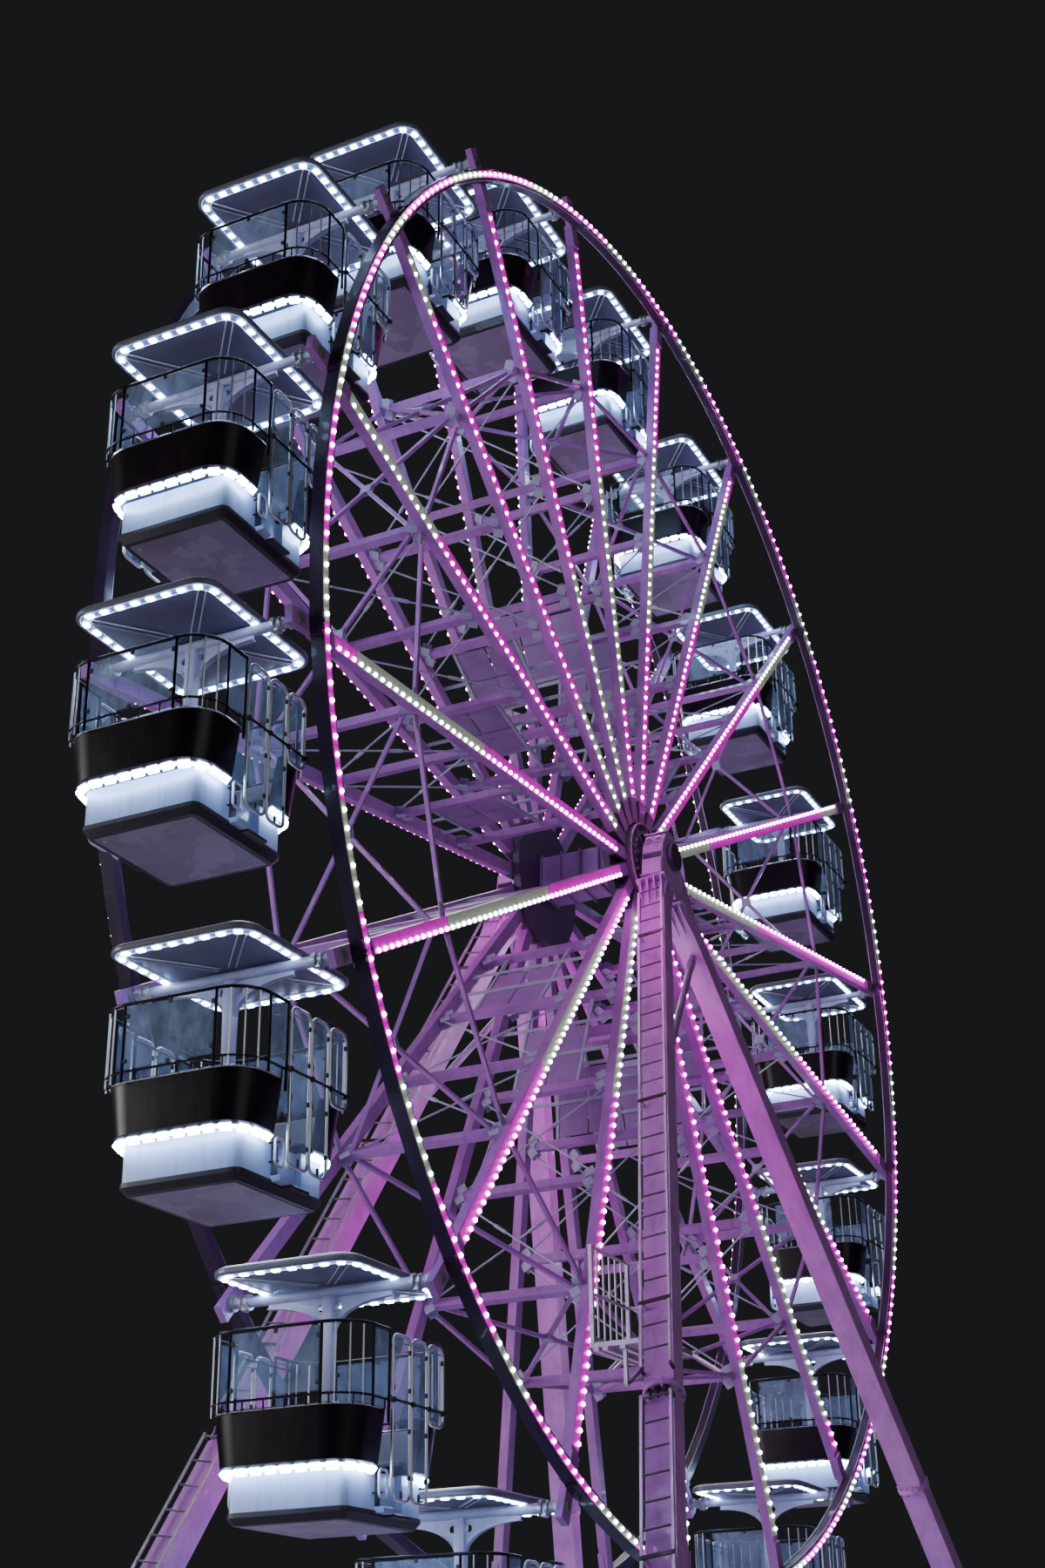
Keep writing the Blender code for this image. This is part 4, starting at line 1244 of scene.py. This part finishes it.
def make_leg_fittings(side_x, side_y, name):
    """Flange with fins at a leg's head, bolts and pins at its joint, bolts and fins at its foot."""
    head, foot, along, outwards, sideways = leg_directions(side_x, side_y)
    flange_end = head + along * HEAD_FLANGE[1]
    plate = start_piece("plate")
    bar(head + along * HEAD_FLANGE[0], flange_end, 0.50, 0.44, outwards, 0.006)
    plate = end_piece(plate, LEG_WHITE_PAINTED_GLOW)
    fins = array_of(fin(0.46, 0.10, 0.020), "fins", [
        basis(flange_end + face * (LEG_WIDTH / 2) + sideways * shift, along, face)
        for face in (outwards, -outwards) for shift in (-0.155, -0.052, 0.052, 0.155)])
    side_fins = array_of(fin(0.34, 0.05, 0.020), "fins", [
        basis(flange_end + face * (LEG_DEPTH / 2) + outwards * shift, along, face)
        for face in (sideways, -sideways) for shift in (-0.12, 0.0, 0.12)])
    foot_fins = array_of(fin(0.22, 0.10, 0.014), "fins", [
        basis((foot.x, foot.y + way * 0.17, 0.44), (0, 0, 1), (0, way, 0)) for way in SIDES])

    bolts = start_piece("bolts")
    joint = head + along * LEG_JOINT
    for way in SIDES:
        level = joint + along * way * 0.035
        for turn in range(12):
            angle = math.radians(turn * 30 + 15)
            place = level + (outwards * math.cos(angle) + sideways * math.sin(angle)) * BOLT_CIRCLE
            rod(place, place + along * way * 0.030, 0.018, 6)
    for way_x, way_y in CORNERS:
        bolt((foot.x + way_x * 0.22, foot.y + way_y * 0.22, 0.44), (0, 0, 1), 0.028, 0.040)
    for shift in (-0.18, 0.18):
        for span in (-0.21, 0.21):
            bolt(flange_end + outwards * span + sideways * shift, along, 0.016, 0.022)
    bolts = end_piece(bolts, BOLT)
    pins = start_piece("pins")
    for shift in (-0.09, 0.0, 0.09):
        place = joint + outwards * (LEG_WIDTH / 2 + 0.036) + sideways * shift
        rod(place + along * 0.02, place + along * 0.17, 0.017, 8)
        bolt(place + along * 0.05, along, 0.022, 0.022)
    pins = end_piece(pins, BLACK_BOLT)
    parts = [plate, fins, side_fins, foot_fins, bolts, pins]
    kept(joined(f"{name}_fittings", parts), "base")


def horn_outline():
    """Crescent: round outside, its inside widening towards the root."""
    outer = [(step, 0.30) for step in range(9)]
    inner = [(step, 0.22 + 0.010 * step) for step in range(7, -1, -1)]
    outline = []
    for step, radius in outer + inner:
        angle = math.radians(10 * step)
        outline.append((0.16 + radius * math.cos(angle), radius * math.sin(angle) - 0.47))
    return outline


def make_bearings():
    """Covers, slots in painted shade, caps and horns of the bearings, each end followed by its leg tie.
    """
    for side, end in ENDS:
        walls = []
        shoulders = []
        for side_x in SIDES:
            foot, waist, crown = (
                Vector((side_x * x, side * 1.18, HUB.z + z))
                for x, z in ((0.42, -0.47), (0.31, 0.12), (0.16, 0.34)))
            walls.append((foot, waist, Vector((side_x * 0.59, 0, 0.11)).normalized()))
            shoulders.append((waist, crown, Vector((side_x * 0.22, 0, 0.15)).normalized()))
        covers = start_piece("covers")
        block((-0.19, side * 1.0, HUB.z + 0.345), (0.19, side * 1.36, HUB.z + 0.372), 0.004)
        for foot, waist, out in walls:
            for start, stop in ((0.17, 0.60), (0.78, 0.88)):
                bar(foot.lerp(waist, start) + out * 0.012, foot.lerp(waist, stop) + out * 0.012,
                    0.30, 0.024, (0, 1, 0), 0.004)
        covers = end_piece(covers, LEG_WHITE_PAINTED_GLOW)
        # The dark bars stand for the shade in the slots between the covers: painted shade
        slots = start_piece("slots")
        for foot, waist, out in walls:
            for start, stop in ((0.01, 0.14), (0.64, 0.75)):
                bar(foot.lerp(waist, start) + out * 0.006, foot.lerp(waist, stop) + out * 0.006,
                    0.28, 0.012, (0, 1, 0))
        slots = end_piece(slots, DARK)
        caps = start_piece("caps")
        for waist, crown, out in shoulders:
            for shift in (-0.075, 0.075):
                place = waist.lerp(crown, 0.42) + Vector((0, shift, 0))
                rod(place, place + out * 0.022, 0.058, 16)
                rod(place, place + out * 0.062, 0.036, 12)
        caps = end_piece(caps, BOLT)
        horn = cut_sheet("horn", horn_outline(), 0.05, LEG_WHITE_PAINTED_GLOW, basis(
            (0, side * 1.366, HUB.z), (1, 0, 0), (0, -1, 0)))
        parts = [covers, slots, caps, horn]
        kept(joined(f"{end}_bearing_fittings", parts), "base")
        make_tie(side, end)


def make_tie(side, end):
    """Round tie with two collars, from high on the right leg to lower down the left one."""
    right_head, _, right_along, _, _ = leg_directions(1, side)
    left_head, _, left_along, _, _ = leg_directions(-1, side)
    start = right_head + right_along * TIE_ON_RIGHT
    stop = left_head + left_along * TIE_ON_LEFT
    tie = start_piece(f"{end}_leg_tie")
    rod(start, stop, 0.050, 16)
    for near, far in ((0.07, 0.13), (0.88, 0.93)):
        rod(start.lerp(stop, near), start.lerp(stop, far), 0.062, 16)
    kept(end_piece(tie, LILAC_PARTLY_PAINTED_GLOW), "base")


def make_ladder(side_y, name):
    """Flat side rails, round rungs darkened as painted shade and stand-off brackets up the outer face of
    a left leg.
    """
    head, _, along, outwards, sideways = leg_directions(-1, side_y)
    centre = head + outwards * (LEG_WIDTH / 2 + LADDER_STANDOFF)
    rails = start_piece("rails")
    for low, high in ((1.0, LEG_JOINT - 0.22), (LEG_JOINT + 0.16, 13.9)):
        for shift in (-LADDER_HALF_WIDTH, LADDER_HALF_WIDTH):
            rail = centre + sideways * shift
            bar(rail + along * low, rail + along * high, 0.036, 0.026, sideways, 0.003)
    rails = end_piece(rails, ZINC)
    # The rungs take a near-black finish: painted shade
    rungs = start_piece("rungs")
    for number in range(RUNG_COUNT):
        distance = FIRST_RUNG + number * RUNG_PITCH
        if abs(distance - LEG_JOINT) > 0.15:
            place = centre + along * distance
            rod(place - sideways * 0.165, place + sideways * 0.165, 0.0125, 8)
    rungs = end_piece(rungs, RUNG_STEEL_PAINTED_SHADE)
    clips = start_piece("clips")
    for distance in (2.0, 5.3, 8.6, 11.9):
        place = centre + along * distance + outwards * 0.017
        bar(place - sideways * 0.19, place + sideways * 0.19, 0.05, 0.008, along, 0.002)
        for shift in (-LADDER_HALF_WIDTH, LADDER_HALF_WIDTH):
            bolt(place + sideways * shift + outwards * 0.004, outwards, 0.010, 0.008)
    for distance in (LEG_JOINT - 0.20, LEG_JOINT + 0.18):
        for shift in (-LADDER_HALF_WIDTH, LADDER_HALF_WIDTH):
            place = centre + along * distance + sideways * shift
            bar(place, place - outwards * LADDER_STANDOFF, 0.04, 0.03, along, 0.003)
    clips = end_piece(clips, BLACK_BOLT)
    kept(joined(f"{name}_detail", [rails, rungs, clips]), "base", [name])


def make_platform():
    """Grated floor on channels, with posts, rails and balusters on the two far sides."""
    low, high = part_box("service_platform")
    floor_top = low.z + 0.06
    left, right, far = low.x + 0.03, high.x - 0.03, high.y - 0.03
    near = low.y + 0.45
    beside_leg = low.y + 0.20
    top = high.z - 0.025
    piece = start_piece("platform_detail")
    middle = low.z + 0.03
    for start, end in (
            ((left, beside_leg), (left, high.y)), ((right, low.y), (right, high.y)),
            ((low.x, high.y - 0.015), (high.x, high.y - 0.015)),
            ((low.x + 0.5, low.y + 0.015), (high.x, low.y + 0.015))):
        bar((*start, middle), (*end, middle), 0.058, 0.03, (0, 0, 1), 0.004)
    for number in range(1, 32):
        x = low.x + number * 0.034
        start_y = beside_leg if number < 15 else low.y
        bar((x, start_y + 0.01, floor_top - 0.014), (x, far, floor_top - 0.014),
            0.026, 0.005, (0, 0, 1))
    for y in (near, near + 0.11, near + 0.22):
        bar((low.x + 0.01, y, floor_top - 0.006), (high.x - 0.01, y, floor_top - 0.006),
            0.010, 0.006, (0, 0, 1))
    for y in (near - 0.05, (near + far) / 2, far - 0.05):
        bar((low.x, y, low.z - 0.022), (high.x - 0.03, y, low.z - 0.022), 0.044, 0.07, (0, 0, 1), 0.004)
    corners = ((left, far), (right, far), (right, near))
    for x, y in corners:
        bar((x, y, middle), (x, y, high.z - 0.002), 0.05, 0.05, (1, 0, 0), 0.004)
    for (start_x, start_y), (end_x, end_y) in zip(corners, corners[1:]):
        for z in (top, (high.z + floor_top) / 2):
            rod((start_x, start_y, z), (end_x, end_y, z), 0.0185, 10)
        count = round(math.hypot(end_x - start_x, end_y - start_y) / 0.16)
        for number in range(1, count):
            share = number / count
            x, y = start_x + (end_x - start_x) * share, start_y + (end_y - start_y) * share
            rod((x, y, middle), (x, y, top), 0.013, 8)
        bar((start_x, start_y, floor_top + 0.04), (end_x, end_y, floor_top + 0.04),
            0.08, 0.006, (0, 0, 1))
    foot = Vector((left + 0.05, near - 0.05, low.z - 0.42))
    bar(foot, (right - 0.25, near - 0.05, low.z - 0.03), 0.045, 0.045, (0, 1, 0), 0.004)
    bar(foot, (left + 0.05, near - 0.05, low.z - 0.02), 0.045, 0.045, (0, 1, 0), 0.004)
    kept(end_piece(piece, ZINC), "base", ["service_platform"])


def make_base():
    """Splice plates and stiffeners of the base beams, and the bolts of their plates and pads."""
    splices = [(side_x, side_x * (FOOT[0] - 0.15), side_y * FOOT[1]) for side_x, side_y in CORNERS]
    steel = start_piece("steel")
    for side_x, x, y in splices:
        for face in SIDES:
            block((x - side_x * 0.45, y + face * 0.150, 0.13),
                  (x - side_x * 0.01, y + face * 0.162, 0.37), 0.003)
    for side_y, face in CORNERS:
        y = side_y * FOOT[1] + face * 0.153
        for x in (-4.8, -2.4, 0.0, 2.4, 4.8):
            block((x - 0.008, y - 0.003, 0.12), (x + 0.008, y + 0.003, 0.38))
    steel = end_piece(steel, WHITE)
    bolts = start_piece("bolts")
    for side_x, x, y in splices:
        for face in SIDES:
            for back in (0.08, 0.22, 0.36):
                for z in (0.18, 0.32):
                    bolt((x - side_x * back, y + face * 0.162, z), (0, face, 0), 0.016, 0.014)
        for way_x, way_y in CORNERS:
            bolt((side_x * FOOT[0] + way_x * 0.27, y + way_y * 0.27, 0.03), (0, 0, 1), 0.02, 0.02)
    bolts = end_piece(bolts, BOLT)
    kept(joined("base_fittings", [steel, bolts]), "base")


# Stage and camera

# Each light is a name, a place, the side of its square in metres and its power in watts
LIGHTS = (
    ("key", (-25, 30, 14), 14, 7000),
    ("fill", (-22, -34, 16), 20, 1700),
    ("rim_light", (24, 22, 28), 16, 4500))
SKY_COLOUR = (0.78, 0.80, 0.90, 1)
SKY_STRENGTH = 0.016
WHEEL_MIDDLE = Vector((0, 0, 11))
CAMERA_PLACE = Vector((-26.36, -11.70, 1.29))
CAMERA_AZIMUTH = math.radians(64.18)
CAMERA_ELEVATION = math.radians(25.29)
CAMERA_ROLL = math.radians(-0.95)
FOCAL_PIXELS = 2417
LONG_SIDE_PIXELS = 1800
LONG_SIDE_MILLIMETRES = 36


def make_stage():
    """Pale floor, a faint sky and three soft lights."""
    deselect()
    bpy.ops.mesh.primitive_plane_add(size=400, location=(0, 0, -0.001))
    floor = bpy.context.view_layer.objects.active
    floor.name = "floor"
    pale = Finish("pale_floor")
    floor.data.materials.append(pale.set(Base_Color=(0.62, 0.62, 0.65), Roughness=0.8))
    world = bpy.data.worlds.new("studio")
    bpy.context.scene.world = world
    world.use_nodes = True
    backdrop = world.node_tree.nodes["Background"]
    backdrop.inputs["Color"].default_value = SKY_COLOUR
    backdrop.inputs["Strength"].default_value = SKY_STRENGTH
    for name, place, size, power in LIGHTS:
        light = bpy.data.lights.new(name, "AREA")
        light.size = size
        light.energy = power
        holder = bpy.data.objects.new(name, light)
        holder.location = place
        holder.rotation_euler = (WHEEL_MIDDLE - Vector(place)).to_track_quat("-Z", "Y").to_euler()
        bpy.context.scene.collection.objects.link(holder)


def make_camera():
    """Camera low on the left, looking up, with the slight roll of the picture."""
    view = Vector((
        math.sin(CAMERA_AZIMUTH) * math.cos(CAMERA_ELEVATION),
        math.cos(CAMERA_AZIMUTH) * math.cos(CAMERA_ELEVATION), math.sin(CAMERA_ELEVATION)))
    right = view.cross(Vector((0, 0, 1))).normalized()
    up = right.cross(view)
    turned_right = right * math.cos(CAMERA_ROLL) + up * math.sin(CAMERA_ROLL)
    turned_up = up * math.cos(CAMERA_ROLL) - right * math.sin(CAMERA_ROLL)
    lens = bpy.data.cameras.new("camera")
    lens.sensor_width = LONG_SIDE_MILLIMETRES
    lens.lens = FOCAL_PIXELS * LONG_SIDE_MILLIMETRES / LONG_SIDE_PIXELS
    lens.clip_end = 500
    camera = bpy.data.objects.new("camera", lens)
    bpy.context.scene.collection.objects.link(camera)
    matrix = Matrix((turned_right, turned_up, -view)).transposed().to_4x4()
    matrix.translation = CAMERA_PLACE
    camera.matrix_world = matrix
    bpy.context.scene.camera = camera


NODE_FINISHES = (
    ("rim_", DARK), ("hub_", HUB_PAINTED_SHADE), ("ladder_", ZINC), ("service_", ZINC),
    ("spoke_frame_", FRAME_WHITE_PAINTED_GLOW))


def paint_frame():
    """Gives each carried-over node its finish, and the leg finish, white under a painted magenta glow,
    where none is listed.
    """
    for name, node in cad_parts.items():
        finishes = [finish for start, finish in NODE_FINISHES if name.startswith(start)]
        for slot in node.material_slots:
            slot.material = (finishes or [LEG_WHITE_PAINTED_GLOW])[0]


make_camera()
make_stage()
paint_frame()
make_cabins()
make_lamps()
make_rim_joints()
make_bracing()
make_sheets()
make_hub()
for side_y, end_name in ENDS:
    make_ladder(side_y, f"ladder_{end_name}")
    for side_x, side_name in ((-1, "left"), (1, "right")):
        make_leg_fittings(side_x, side_y, f"leg_{end_name}_{side_name}")
make_bearings()
make_platform()
make_base()
